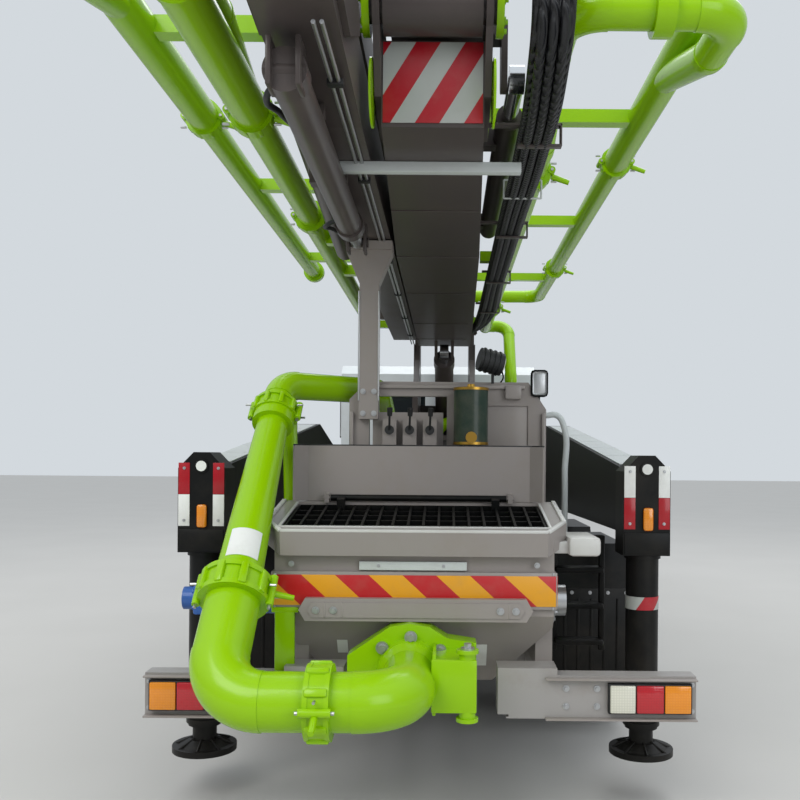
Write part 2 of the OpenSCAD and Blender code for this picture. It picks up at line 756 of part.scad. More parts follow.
// The slewing turret with the boom hinge and the foot of the lifting cylinder
module turret() {
    left = s1_left - cheek_gap;
    right = s1_right + cheek_gap;
    color(BOOM_GREY) difference() {
        union() {
            translate([0, slew_y, ring_z + seat]) cylinder(d = ring_d, h = ring_h);
            flat_plate(ring_z + ring_h, base_z, [[-500, slew_y - 720], [500, slew_y - 720],
                [620, slew_y - 400], [620, slew_y + 500], [450, slew_y + 760], [-450, slew_y + 760],
                [-620, slew_y + 500], [-620, slew_y - 400]]);
            cheek(left - cheek_t, left);
            cheek(right, right + cheek_t);
            block(left - 1, right + 1, slew_y + 500, slew_y + 560, base_z - 1, base_z + 380);
            bar_x(left - cheek_t - 30, right + cheek_t + 30, h_y, hinge_z, hinge_pin_d);
            for (x = [luff_x - 50 - cheek_gap - 35, luff_x + 50 + cheek_gap]) {
                side_plate(x, x + 35, [[luff_y - 150, base_z - 1], [luff_y + 160, base_z - 1],
                    [luff_y + 95, luff_z], [luff_y - 95, luff_z]]);
                bar_x(x, x + 35, luff_y, luff_z, 190);
            }
            bar_x(luff_x - 105, luff_x + 105, luff_y, luff_z, 90);
        }
        bar_x(right - 1, right + cheek_t + 1, slew_y, base_z + bend_r + 5, pipe_d + 20);
    }
}

// The turret's delivery pipe, from the slewing axis to the boom hinge
module turret_pipe() {
    x = 840;
    z = base_z + bend_r + 5;
    color(GREEN) {
        pipe_run([[0, slew_y, base_z + seat], [0, slew_y, z], [x, slew_y, z], [x, slew_y, 2600],
            [x, h_y, hinge_z], [pipe1_x + bend_r + 10, h_y, hinge_z]], pipe_d, bend_r);
        coupling([x, slew_y, z + 250], [0, 0, 1]);
        block(s1_right + cheek_gap + cheek_t + seat, x - 20, slew_y - 30, slew_y + 30, 2480, 2540);
    }
}

// The lifting cylinder's barrel, from its eye on the turret
module luff_barrel() {
    foot = [luff_x, luff_y, luff_z];
    color(BOOM_GREY) difference() {
        union() {
            bar_x(luff_x - 50, luff_x + 50, luff_y, luff_z, 170);
            bar(foot, foot + 130 * luff_dir, luff_neck);
            bar(foot + 110 * luff_dir, foot + (luff_len - 150) * luff_dir, luff_tube);
            bar(foot + (luff_len - 240) * luff_dir, foot + (luff_len - 130) * luff_dir, luff_tube + 20);
        }
        bar_x(luff_x - 51, luff_x + 51, luff_y, luff_z, 90 + 2 * running);
        bar(foot + 140 * luff_dir, foot + (luff_len - 120) * luff_dir, luff_bore + 2 * running);
    }
}

// The lifting cylinder's rod with its eye
module luff_rod() {
    foot = [luff_x, luff_y, luff_z];
    color(STEEL) difference() {
        union() {
            bar(foot + 145 * luff_dir, foot + (luff_len - 30) * luff_dir, luff_bore);
            bar_x(luff_x - 45, luff_x + 45, eye_y, eye_z, 160);
        }
        bar_x(luff_x - 46, luff_x + 46, eye_y, eye_z, 80);
    }
}

// A box section of the boom: side outline in [y, z] cut by plan outline in [x, y]
module beam(side, plan, z0, z1) {
    intersection() {
        side_plate(-WIDE, WIDE, side);
        flat_plate(z0, z1, plan);
    }
}

cyl1_x = boom_x + s1_mid_w / 2 + 85;
cyl1_z = k1_z - 60;
cyl1_d = 120;
rod_d = 70;
eye1_y = k1_y + 450;
cyl3_x = s3_x0 - 90;
crank_y = k2_y - 250;
crank_z = k2_z - 300;
eye3_y = k3_y + 490;
eye3_z = k3_z + 60;
tail3_y = k3_y + 3300;
tail3_z = boom_z + 90;

// Section 1: a tapered box with the hinge hub, the knuckle plates and pin, and a cylinder barrel
module boom_1() {
    half = s1_w / 2;
    color(BOOM_GREY) difference() {
        union() {
            beam([[s1_end_y, boom_z], [h_y - 1050, boom_z], [h_y - 30, hinge_z - hub_r + 6], [h_y, hinge_z],
                [h_y - 30, hinge_z + hub_r - 6], [h_y - 440, s2_z0 - 20], [s1_root_y, s2_z0 - 40],
                [s1_end_y + 300, s1_top], [s1_end_y, s1_top]],
                [[boom_x - half, s1_end_y], [boom_x + half, s1_end_y], [boom_x + s1_mid_w / 2, s1_mid_y],
                [s1_right, s1_root_y], [s1_right, h_y + hub_r], [s1_left, h_y + hub_r], [s1_left, s1_mid_y]],
                boom_z, hinge_z + hub_r);
            bar_x(s1_left, s1_right, h_y, hinge_z, 2 * hub_r);
            for (x = [boom_x - half - plate_t, boom_x + half]) {
                side_plate(x, x + plate_t, [[s1_end_y + 600, s1_top - 60], [s1_end_y + 320, boom_z + 60],
                    [s1_end_y, boom_z + 110], [k1_y - plate_r, k1_z - 10],
                    [k1_y + plate_r * 0.6, k1_z + plate_r * 0.8], [s1_end_y + 600, s1_top - 10]]);
                bar_x(x, x + plate_t, k1_y, k1_z, 2 * plate_r);
            }
            bar_x(boom_x - half - plate_t - 15, boom_x + half + plate_t + 15, k1_y, k1_z, knuckle_pin_d);
            bar_y(cyl1_x, k1_y + 850, k1_y + 2850, cyl1_z, cyl1_d);
            for (y = [k1_y + 1100, k1_y + 2600])
                block(boom_x + half - 40, cyl1_x - 10, y, y + 90, cyl1_z - 40, cyl1_z + 40);
            for (x = [luff_x - luff_lug - 30, luff_x + luff_lug]) {
                side_plate(x, x + 30, [[eye_y - 170, boom_z + 1], [eye_y - 80, eye_z], [eye_y + 80, eye_z],
                    [eye_y + 170, boom_z + 1]]);
                bar_x(x, x + 30, eye_y, eye_z, 160);
            }
        }
        bar_x(s1_left - 1, s1_right + 1, h_y, hinge_z, hinge_pin_d + 2 * running);
        bar_y(cyl1_x, k1_y + 849, k1_y + 2700, cyl1_z, rod_d + 2 * running);
        bar_x(luff_x - luff_lug - 31, luff_x + luff_lug + 31, eye_y, eye_z, 80);
    }
}

// Section 2: a straight box above section 1, with the hollow pin that carries section 3
module boom_2() {
    lug_y = eye1_y;
    color(BOOM_GREY) difference() {
        union() {
            side_plate(s2_x0, s2_x1, [[s1_end_y, s2_z0], [k2_y - 450, s2_z0],
                [k2_y - 40, k2_z - k2_hub_r + 6],
                [k2_y, k2_z], [k2_y - 40, k2_z + k2_hub_r - 6], [k2_y - 450, s2_z1], [s1_end_y + 300, s2_z1],
                [s1_end_y, s2_z1 - 90]]);
            bar_x(s2_x0, s2_x1, k1_y, k1_z, 2 * plate_r - 40);
            side_plate(s2_x0, s2_x1, [[k1_y - 60, k1_z + 62], [k1_y + 84, k1_z - 10],
                [s1_end_y + 350, s2_z0 - 5], [s1_end_y + 350, s2_z0 + 20], [s1_end_y, s2_z0 + 60]]);
            bar_x(s2_x0, s2_x1, k2_y, k2_z, 2 * k2_hub_r);
            bar_x(s3_x0 - 30, s2_x0 + 1, k2_y, k2_z, hollow_pin_d);
            bar_x(s3_x0 - 30, s3_x0 - link_clear, k2_y, k2_z, hollow_pin_d + 60);
            side_plate(s3_x0 - 30, s3_x0 - link_clear, [[k2_y - 100, k2_z - 20], [crank_y - 48, crank_z + 10],
                [crank_y + 30, crank_z - 40], [k2_y + 60, k2_z - 100]]);
            bar_x(s3_x0 - 30, s3_x0 - link_clear, crank_y, crank_z, 110);
            block(s2_x1 - 1, cyl1_x - 40, lug_y - 60, lug_y + 60, s2_z0 + 8, s2_z0 + 60);
            side_plate(cyl1_x - 65, cyl1_x - 40, [[lug_y - 60, s2_z0 + 60], [lug_y - 54, cyl1_z],
                [lug_y + 54, cyl1_z], [lug_y + 60, s2_z0 + 60]]);
            bar_x(cyl1_x - 65, cyl1_x - 40, lug_y, cyl1_z, 110);
        }
        bar_x(s2_x0 - 1, s2_x1 + 1, k1_y, k1_z, knuckle_pin_d + 2 * running);
        bar_x(s3_x0 - 40, s2_x1 + 10, k2_y, k2_z, pipe_d + 2 * seat);
    }
}

// Section 3: the left beam, goose-necked up to its knuckle, with two cylinder barrels
module boom_3() {
    end_y = k3_y + end_gap;
    tail = [cyl3_x, tail3_y, tail3_z];
    head = [cyl3_x, eye3_y, eye3_z];
    along = unit(head - tail);
    color(BOOM_GREY) difference() {
        union() {
            side_plate(s3_x0, s3_x1, [[end_y, boom_z + 40], [end_y + 900, boom_z], [neck_y, boom_z],
                [k2_y + 104, k2_z - 104], [k2_y, k2_z], [k2_y - 104, k2_z + 104], [neck_y - 60, s3_top],
                [end_y, s3_top]]);
            bar_x(s3_x0, s3_x1, k2_y, k2_z, 2 * k2_hub_r);
            for (x = [s3_x0 - 20, s3_x1]) {
                side_plate(x, x + 20, [[end_y + 600, s3_top - 70], [end_y + 320, boom_z + 60],
                    [end_y, boom_z + 90], [k3_y - plate_r, k3_z - 10],
                    [k3_y + plate_r * 0.6, k3_z + plate_r * 0.8], [end_y + 600, s3_top - 10]]);
                bar_x(x, x + 20, k3_y, k3_z, 2 * plate_r);
            }
            bar_x(s3_x0 - 30, s3_x1 + 30, k3_y, k3_z, knuckle_pin_d - 20);
            bar_y(cyl3_x, crank_y - 2300, crank_y - 750, crank_z, 100);
            for (y = [crank_y - 2150, crank_y - 1000])
                block(cyl3_x - 30, s3_x0 + 1, y, y + 80, s3_top - 90, crank_z);
            bar(tail, tail + 1900 * along, 120);
            for (y = [tail3_y - 250, tail3_y - 1500])
                block(cyl3_x, s3_x0 + 1, y, y + 80, boom_z + 60, boom_z + 150);
        }
        bar_x(s3_x0 - 1, s3_x1 + 1, k2_y, k2_z, hollow_pin_d + 2 * running);
        bar_y(cyl3_x, crank_y - 2200, crank_y - 749, crank_z, rod_d - 10 + 2 * running);
        bar(tail + 100 * along, tail + 1901 * along, rod_d + 2 * running);
    }
}

// Section 4: the tapered tip section above section 3
module boom_4() {
    end_y = k3_y + end_gap;
    color(BOOM_GREY) difference() {
        union() {
            side_plate(s4_x0, s4_x1, [[end_y, s4_z0], [s4_tip_y, s4_z0 + 20], [s4_tip_y, s4_z0 + s4_tip_h],
                [end_y + 300, s4_z0 + s4_h], [end_y, s4_z0 + s4_h - 60]]);
            bar_x(s4_x0, s4_x1, k3_y, k3_z, 150);
            side_plate(s4_x0, s4_x1, [[k3_y - 50, k3_z + 50], [k3_y + 70, k3_z - 8], [end_y + 300, s4_z0 - 4],
                [end_y + 300, s4_z0 + 20], [end_y, s4_z0 + 60]]);
            block(cyl3_x + 35, s4_x0 + 1, eye3_y - 50, eye3_y + 50, s4_z0 + 25, s4_z0 + 90);
            side_plate(cyl3_x + 35, cyl3_x + 55, [[eye3_y - 50, s4_z0 + 90], [eye3_y - 48, eye3_z],
                [eye3_y + 48, eye3_z], [eye3_y + 50, s4_z0 + 90]]);
            bar_x(cyl3_x + 35, cyl3_x + 55, eye3_y, eye3_z, 100);
        }
        bar_x(s4_x0 - 1, s4_x1 + 1, k3_y, k3_z, knuckle_pin_d - 20 + 2 * running);
    }
}

// The rod of the first knuckle's cylinder
module rod_1() {
    color(STEEL) {
        bar_y(cyl1_x, eye1_y, k1_y + 2150, cyl1_z, rod_d);
        bar_x(cyl1_x - 30, cyl1_x + 30, eye1_y, cyl1_z, 110);
    }
}

// The rod of the second knuckle's cylinder
module rod_2() {
    color(STEEL) {
        bar_y(cyl3_x, crank_y - 1750, crank_y, crank_z, rod_d - 10);
        bar_x(cyl3_x - 25, cyl3_x + 25, crank_y, crank_z, 100);
    }
}

// The rod of the third knuckle's cylinder
module rod_3() {
    tail = [cyl3_x, tail3_y, tail3_z];
    head = [cyl3_x, eye3_y, eye3_z];
    along = unit(head - tail);
    color(STEEL) {
        bar(tail + 900 * along, head, rod_d);
        bar_x(cyl3_x - 25, cyl3_x + 25, eye3_y, eye3_z, 100);
    }
}

// A pipe's side brackets, from its boom section to the pipe
module pipe_brackets(x0, x1, z, places) {
    for (y = places)
        block(min(x0, x1), max(x0, x1), y - 40, y + 40, z - 35, z + 35);
}

pipe_low = boom_z + 220;
pipe_high = s4_z0 + 120;

// The delivery pipe of section 1
module pipe_1() {
    x = pipe1_x;
    swivel = (pipe1_x + pipe2_x) / 2;
    color(GREEN) {
        pipe_run([[x + bend_r + 9.7, h_y, hinge_z], [x, h_y, hinge_z], [x, h_y - 350, hinge_z],
            [x, h_y - 1000, pipe_low], [x, k1_y + 900, pipe_low], [x, k1_y + 400, k1_z], [x, k1_y, k1_z],
            [swivel - seat, k1_y, k1_z]],
            pipe_d, bend_r);
        coupling([x, k1_y + 1250, pipe_low], [0, 1, 0]);
        coupling([x, h_y - 2300, pipe_low], [0, 1, 0]);
        pipe_brackets(s1_right + seat, x - 40, pipe_low, [h_y - 1400]);
        pipe_brackets(boom_x + s1_mid_w / 2 + 40, x - 40, pipe_low, [s1_mid_y + 1000]);
    }
}

// The delivery pipe of section 2, which crosses to the left through the hollow pin
module pipe_2() {
    x = pipe2_x;
    swivel = (pipe1_x + pipe2_x) / 2;
    color(GREEN) {
        pipe_run([[swivel + seat, k1_y, k1_z], [x, k1_y, k1_z], [x, k1_y + 350, k1_z], [x, k1_y + 1100, k2_z],
            [x, k2_y, k2_z], [-pipe3_x + bend_r + 16, k2_y, k2_z]], pipe_d, bend_r);
        coupling([swivel + coupling_w / 2 + 1, k1_y, k1_z], [1, 0, 0]);
        coupling([x, k1_y + 2330, k2_z], [0, 1, 0]);
        coupling([x, k1_y + 5420, k2_z], [0, 1, 0]);
        pipe_brackets(s2_x1 + seat, x - 40, k2_z, [k1_y + 1600, k1_y + 3700, k2_y - 1100]);
    }
}

// The delivery pipe of section 3
module pipe_3() {
    x = -pipe3_x;
    swivel = -(pipe3_x + pipe4_x) / 2;
    color(GREEN) {
        pipe_run([[x + bend_r + 15, k2_y, k2_z], [x, k2_y, k2_z], [x, k2_y - 350, k2_z],
            [x, k2_y - 1100, pipe_low], [x, k3_y + 1300, pipe_low], [x, k3_y + 800, k3_z], [x, k3_y, k3_z],
            [swivel + seat, k3_y, k3_z]], pipe_d, bend_r);
        coupling([x, k3_y + 1400, pipe_low], [0, 1, 0]);
        coupling([x, k3_y + 3000, pipe_low], [0, 1, 0]);
        pipe_brackets(s3_x0 - seat, x + 40, boom_z + 120, [neck_y - 260]);
        pipe_brackets(s3_x0 - seat, x + 40, pipe_low - 30, [neck_y - 2500, tail3_y + 120]);
    }
}

// The delivery pipe of section 4, open at its tip
module pipe_4() {
    x = -pipe4_x;
    swivel = -(pipe3_x + pipe4_x) / 2;
    tip = s4_tip_y + 150;
    color(GREEN) difference() {
        union() {
            pipe_run([[swivel - seat, k3_y, k3_z], [x, k3_y, k3_z], [x, k3_y + 350, k3_z],
                [x, k3_y + 1100, pipe_high], [x, tip, pipe_high]], pipe_d, bend_r);
            coupling([swivel - coupling_w / 2 - 1, k3_y, k3_z], [1, 0, 0]);
            coupling([x, k3_y + 2270, pipe_high], [0, 1, 0]);
            coupling([x, tip - coupling_w / 2, pipe_high], [0, 1, 0]);
            pipe_brackets(s4_x0 - seat, x + 40, pipe_high, [k3_y + 1300, k3_y + 3400, s4_tip_y - 500]);
        }
        bar_y(x, tip - 300, tip + 1, pipe_high, pipe_d - 8);
    }
}

column_low = foot_z + 130;

// A leg's swinging arm with its hub and its jack's column
module leg(side, pivot_y, jack_y, crest) {
    half = arm_w / 2;
    z0 = pivot_z0 + 5;
    z1 = pivot_z1 - 5;
    crest_y = jack_y + 0.68 * (pivot_y - jack_y);
    color(BLACK) mirror([side == LEFT ? 1 : 0, 0, 0]) difference() {
        union() {
            beam([[jack_y, arm_top - arm_h + 5], [jack_y + 250, z0], [pivot_y, z0], [pivot_y, z1],
                [pivot_y - 300, z1], [crest_y, crest], [jack_y, arm_top]],
                [[jack_x - half, jack_y], [jack_x + half, jack_y], [pivot_x + half, pivot_y],
                [pivot_x - half, pivot_y]], z0 - 50, crest + 10);
            translate([pivot_x, pivot_y, z0]) cylinder(r = half, h = z1 - z0);
            face_plate(jack_y - 100, jack_y + 110, [[jack_x - head_w / 2, arm_top + 70 - head_h],
                [jack_x + head_w / 2, arm_top + 70 - head_h], [jack_x + head_w / 2, arm_top - 10],
                [jack_x + 40, arm_top + 70], [jack_x - 40, arm_top + 70],
                [jack_x - head_w / 2, arm_top - 10]]);
            translate([jack_x, jack_y, column_low]) cylinder(d = column_d, h = arm_top - 100 - column_low);
        }
        translate([pivot_x, pivot_y, z0 - 1]) cylinder(d = pivot_pin_d + 2 * running, h = z1 - z0 + 2);
        translate([jack_x, jack_y, column_low - 1])
            cylinder(d = jack_d + 2 * running, h = arm_top - 150 - column_low);
    }
}

// A jack's inner leg with its round foot
module jack(side, jack_y) {
    color(STEEL) mirror([side == LEFT ? 1 : 0, 0, 0]) {
        translate([jack_x, jack_y, foot_z + 30]) cylinder(d = jack_d, h = arm_top - 200 - foot_z - 30);
        translate([jack_x, jack_y, foot_z]) cylinder(d = foot_d, h = 30);
        translate([jack_x, jack_y, foot_z + 29]) cylinder(d1 = foot_d - 60, d2 = jack_d + 30, h = 30);
    }
}

rim_tilt = atan(rim_rise / hopper_len);
hopper_x = -hopper_off;
mouth_half = rim_w / 2 - rim_flat;
hopper_back = -hopper_rear + hopper_len;
wall_rear = -hopper_rear + 80;
agitator_y = -hopper_rear + 315;
rim_h = 110;
rim_slope = hopper_len / cos(rim_tilt);
rim_corner = 110;

// Places its children in the plane of the rim, with Y along the slope
module on_rim() {
    translate([hopper_x, -hopper_rear, rim_z]) rotate([rim_tilt, 0, 0]) children();
}

// The hopper's tapered body, drawn in by the depth in
module hopper_body(in, up) {
    half = mouth_half + hopper_t - in;
    intersection() {
        side_plate(-WIDE, WIDE, [[wall_rear + in, 960], [hopper_back - 330 + in, hopper_low + in],
            [hopper_back - 20 - in, hopper_low + in], [hopper_back - 20 - in, rim_z + rim_rise - 70 + up],
            [wall_rear + in, rim_z - 40 + up]]);
        face_plate(-2 * hopper_rear, 0, [[hopper_x - half, 900], [hopper_x - half + 270, hopper_low - 1],
            [hopper_x + half - 270, hopper_low - 1], [hopper_x + half, 900], [hopper_x + half, 2000],
            [hopper_x - half, 2000]]);
    }
}

// The receiving hopper: folded rim, tapered body, and its legs on the tail members
module hopper() {
    half = rim_w / 2;
    c = rim_corner;
    color(HOPPER_GREY) difference() {
        union() {
            on_rim() translate([0, 0, -rim_h]) linear_extrude(rim_h)
                polygon([[c - half, 0], [half - c, 0], [half, 2 * c], [half, rim_slope], [-half, rim_slope],
                    [-half, 2 * c]]);
            hopper_body(0, 0);
            both_sides()
                block(tail_x, tail_x + 80, agitator_y - 110, hopper_back - 21, bumper_z + bumper_h - 8 + seat,
                    agitator_z - 120);
        }
        on_rim() translate([-mouth_half, rim_flat, -rim_h - 2])
            cube([2 * mouth_half, rim_slope - rim_flat - 60, rim_h + 50]);
        hopper_body(hopper_t, 400);
        bar_x(hopper_x - WIDE / 2, hopper_x + WIDE / 2, agitator_y, agitator_z, agitator_d + 2 * seat);
    }
}

grate_hinge = rim_slope - 40;
grate_hinge_up = 24;
grate_near = rim_flat + 12;
grate_far = rim_slope - 68;
grate_half = mouth_half - 12;
grate_top = -8;

// The hinged grate in the hopper's mouth: long bars and cross bars in a frame, and two hinge arms
module grate() {
    count = floor((2 * grate_half - bar_t) / bar_pitch);
    low = grate_top - bar_h;
    edge = grate_half - bar_t;
    color(BLACK) on_rim() {
        block(-grate_half, grate_half, grate_near, grate_near + bar_t, low, grate_top);
        block(-grate_half, grate_half, grate_far - bar_t, grate_far, low, grate_top);
        block(-grate_half, -edge, grate_near + 1, grate_far - 1, low, grate_top);
        block(edge, grate_half, grate_near + 1, grate_far - 1, low, grate_top);
        for (i = [0:count - 1]) {
            x = (i - (count - 1) / 2) * bar_pitch;
            block(x - bar_t / 2, x + bar_t / 2, grate_near + 1, grate_far - 1, low + 4, grate_top - 1);
        }
        for (i = [1:cross_rows]) {
            y = grate_near + i * (grate_far - grate_near) / (cross_rows + 1);
            block(1 - grate_half, grate_half - 1, y, y + bar_t, low + 9, grate_top - 9);
        }
        for (s = SIDES) {
            block(s * 400 - 20, s * 400 + 20, grate_far - 50, grate_far - 2, low + 20, grate_hinge_up + 8);
            block(s * 400 - 20, s * 400 + 20, grate_far - 50, grate_hinge - 13, grate_hinge_up - 12,
                grate_hinge_up + 8);
        }
        difference() {
            bar_x(-460, 460, grate_hinge, grate_hinge_up, 34);
            bar_x(-461, 461, grate_hinge, grate_hinge_up, 20 + 2 * running);
        }
    }
}

// The folded splash guard behind the grate, with the grate's hinge pin
module splash_guard() {
    y = hopper_back;
    z = rim_z + rim_rise + seat;
    half = mouth_half + 20;
    wing = 70;
    x0 = hopper_x - half;
    x1 = hopper_x + half;
    color(HOPPER_GREY) {
        flat_plate(z, z + guard_h, [[x0, y - wing], [x0 + 8, y - wing], [x0 + wing, y - 8],
            [x1 - wing, y - 8], [x1 - 8, y - wing], [x1, y - wing], [x1 - wing + 4, y], [x0 + wing - 4, y]]);
        flat_plate(z + guard_h - 8, z + guard_h, [[x0 + wing, y - 1], [x1 - wing, y - 1],
            [x1 - wing - 20, y + 40], [x0 + wing + 20, y + 40]]);
        on_rim() {
            bar_x(-500, 500, grate_hinge, grate_hinge_up, 20);
            for (s = SIDES)
                block(s * 480 - 12, s * 480 + 12, grate_hinge - 16, grate_hinge + 42, seat, 44);
        }
    }
}

// The agitator's shaft with its paddles
module agitator() {
    half = mouth_half + hopper_t + 40;
    color(STEEL) {
        bar_x(hopper_x - half, hopper_x + half, agitator_y, agitator_z, agitator_d);
        for (s = SIDES)
            for (i = [0:1]) {
                x = hopper_x + s * (220 + i * 260);
                translate([x, agitator_y, agitator_z]) rotate([i * 90, 0, 0]) {
                    translate([-12, -18, -blade_r]) cube([24, 36, 2 * blade_r]);
                    for (e = SIDES)
                        translate([0, 0, e * (blade_r - 40)]) rotate([0, 0, s * 30])
                            cube([130, 16, 78], center = true);
                }
            }
    }
}

// The agitator's bearings on both walls and the motor on the left one
module agitator_motor() {
    half = mouth_half + hopper_t + seat;
    color(STEEL) difference() {
        union() {
            for (s = SIDES) {
                x = hopper_x + s * half;
                bar_x(min(x, x + s * 20), max(x, x + s * 20), agitator_y, agitator_z, 210);
                bar_x(min(x, x + s * 80), max(x, x + s * 80), agitator_y, agitator_z, 150);
            }
            bar_x(hopper_x - half - 300, hopper_x - half - 79, agitator_y, agitator_z, 110);
            block(hopper_x - half - 330, hopper_x - half - 230, agitator_y - 70, agitator_y + 70,
                agitator_z - 60, agitator_z + 80);
        }
        bar_x(hopper_x - half - 45, hopper_x + half + 45, agitator_y, agitator_z, agitator_d + 2 * running);
    }
}

outlet_x = -50;
outlet_y = -bumper_y - elbow_out;
riser_foot = [-riser_x, outlet_y, outlet_z];
riser_head = [-riser_x + 40, -hopper_rear + 700, riser_top + 20];
riser_dir = unit(riser_head - riser_foot);
riser_start = 520;

// The delivery outlet: bolted door plate, hinge lug, elbow and clamp
module outlet() {
    face_y = -bumper_y - 40;
    color(GREEN) {
        face_plate(face_y, wall_rear - 1, [[-330, outlet_z - 130], [250, outlet_z - 130],
            [250, outlet_z + 130],
            [120, outlet_z + 150], [40, outlet_z + 200], [-50, outlet_z + 215], [-140, outlet_z + 200],
            [-330, outlet_z + 70]]);
        block(60, 235, face_y - 260, face_y + 1, outlet_z - 105, outlet_z + 105);
        translate([205, face_y - 230, outlet_z - 150]) cylinder(d = 70, h = 300);
        pipe_run([[outlet_x, face_y + 1, outlet_z], [outlet_x, outlet_y, outlet_z], riser_foot,
            riser_foot + riser_start * riser_dir], elbow_d, 200);
        bar_x(-420, -340, outlet_y, outlet_z, elbow_d + 60);
        bar(riser_foot + (riser_start - 60) * riser_dir, riser_foot + riser_start * riser_dir, elbow_d + 50);
    }
}

// The tapered riser, its top elbow and the pipe over the pump to the turret
module riser() {
    tip = riser_foot + (riser_start + seat) * riser_dir;
    neck = riser_head - 260 * riser_dir;
    v = neck - tip;
    color(GREEN) {
        translate(tip) rotate([0, acos(v.z / norm(v)), atan2(v.y, v.x)])
            cylinder(d1 = elbow_d - 25, d2 = pipe_d + 22, h = norm(v));
        bar(tip, tip + 60 * riser_dir, elbow_d + 50);
        pipe_run([neck - 2 * riser_dir, riser_head, [-300, -2600, riser_top + 30], [-300, -300, 1620],
            [-300, slew_y - 700 - seat, 1620]], pipe_d + 15, 190);
        bar(neck - 40 * riser_dir, neck + 40 * riser_dir, pipe_d + 75);
    }
}

// The frame behind the hopper with its valve block and the boom's rest
module rear_frame() {
    y = -2950;
    color(HOPPER_GREY) {
        difference() {
            face_plate(y, y + 60, [[-430, sub_top + seat], [660, sub_top + seat], [660, 1960], [560, 2110],
                [-330, 2110], [-430, 2010]]);
            block(-285, 285, y - 1, y + 61, sub_top, 1240);
            block(-320, 110, y - 1, y + 61, 1420, 2030);
            block(190, 560, y - 1, y + 61, 1420, 1980);
        }
        block(-373, -267, y - 60, y + 46, 1900, boom_z - 130);
        face_plate(y - 60, y + 46, [[-373, boom_z - 240], [-267, boom_z - 240], [-195, boom_z - 70],
            [-195, boom_z - 55], [-445, boom_z - 55], [-445, boom_z - 70]]);
        block(-445, -195, y - 80, y + 70, boom_z - 56, boom_z - 8);
        block(-300, 90, y + 5, y + 55, 1480, 1940);
        for (x = [-240, -130, -20])
            block(x, x + 75, y - 75, y + 10, 1520, 1900);
    }
}

// The grease pump beside the frame's window
module grease_pump() {
    color(BLACK) {
        translate([240, -3060, 1760]) cylinder(d = 185, h = 310);
        translate([240, -3060, 1740]) cylinder(d = 120, h = 21);
        block(180, 300, -3060, -2950 - seat, 1700, 1741);
    }
}

// The pump: two delivery cylinders, the water box and the two drive cylinders
module pump() {
    rear = [0, hopper_back - 5, sub_top - 130];
    saddle_half = rail_x - 62;
    rise = 0.11;
    along = unit([0, 1, rise]);
    color(HOPPER_GREY) {
        for (s = SIDES) {
            p = rear + [s * pump_pitch / 2, 0, 0];
            bar(p, p + pump_len * along, pump_d);
            bar(p + (pump_len + 300) * along, p + (2 * pump_len + 100) * along, pump_d * 0.55);
        }
        box = rear + pump_len * along;
        block(-pump_pitch / 2 - pump_d / 2, pump_pitch / 2 + pump_d / 2, box.y - 5, box.y + 310,
            box.z - pump_d / 2 - 10, box.z + pump_d / 2 + 20);
        for (y = [-2700, -1500, -200])
            block(-saddle_half, saddle_half, y - 40, y + 40, sub_top + seat, sub_top + 90 + (y + 2700) * 0.1);
    }
}

// The rear lamps on the bumper and the side lamps on the jacks' heads
module lamps() {
    x1 = truck_w / 2 - 25;
    z0 = bumper_z + 22;
    z1 = bumper_z + bumper_h - 22;
    color("#B01020") both_sides()
        for (i = [0:2])
            block(x1 - 110 - i * 125, x1 - i * 125, -bumper_y - 28, -bumper_y - seat, z0, z1);
}

chassis();
axles();
engine();
cab_shell();
cab_trim();
cab_seats();
tanks();
deck();
pedestal();
pump();
hopper();
splash_guard();
agitator_motor();
outlet();
riser();
rear_frame();
grease_pump();
lamps();
door(LEFT);  // door_left
door(RIGHT);  // door_right
knuckle(LEFT);  // knuckle_left
knuckle(RIGHT);  // knuckle_right
front_wheel(LEFT);  // wheel_front_left
front_wheel(RIGHT);  // wheel_front_right
twin_wheel(LEFT, -mid_axle_y);  // wheel_mid_left
twin_wheel(RIGHT, -mid_axle_y);  // wheel_mid_right
twin_wheel(LEFT, -rear_axle_y);  // wheel_rear_left
twin_wheel(RIGHT, -rear_axle_y);  // wheel_rear_right
turret();
turret_pipe();
boom_1();
boom_2();
boom_3();
boom_4();
pipe_1();
pipe_2();
pipe_3();
pipe_4();
luff_barrel();
luff_rod();
rod_1();
rod_2();
rod_3();
leg(LEFT, front_pivot_y, front_jack_y, pivot_z1 - 6);  // leg_front_left
leg(RIGHT, front_pivot_y, front_jack_y, pivot_z1 - 6);  // leg_front_right
leg(LEFT, rear_pivot_y, -rear_jack_y, 1950);  // leg_rear_left
leg(RIGHT, rear_pivot_y, -rear_jack_y, 1950);  // leg_rear_right
jack(LEFT, front_jack_y);  // jack_front_left
jack(RIGHT, front_jack_y);  // jack_front_right
jack(LEFT, -rear_jack_y);  // jack_rear_left
jack(RIGHT, -rear_jack_y);  // jack_rear_right
grate();
agitator();
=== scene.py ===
"""Dresses the concrete pump truck: paint, rubber, glass and small fittings over the fixed CAD frame."""

import json
import math

import bmesh
import bpy
from mathutils import Matrix, Vector

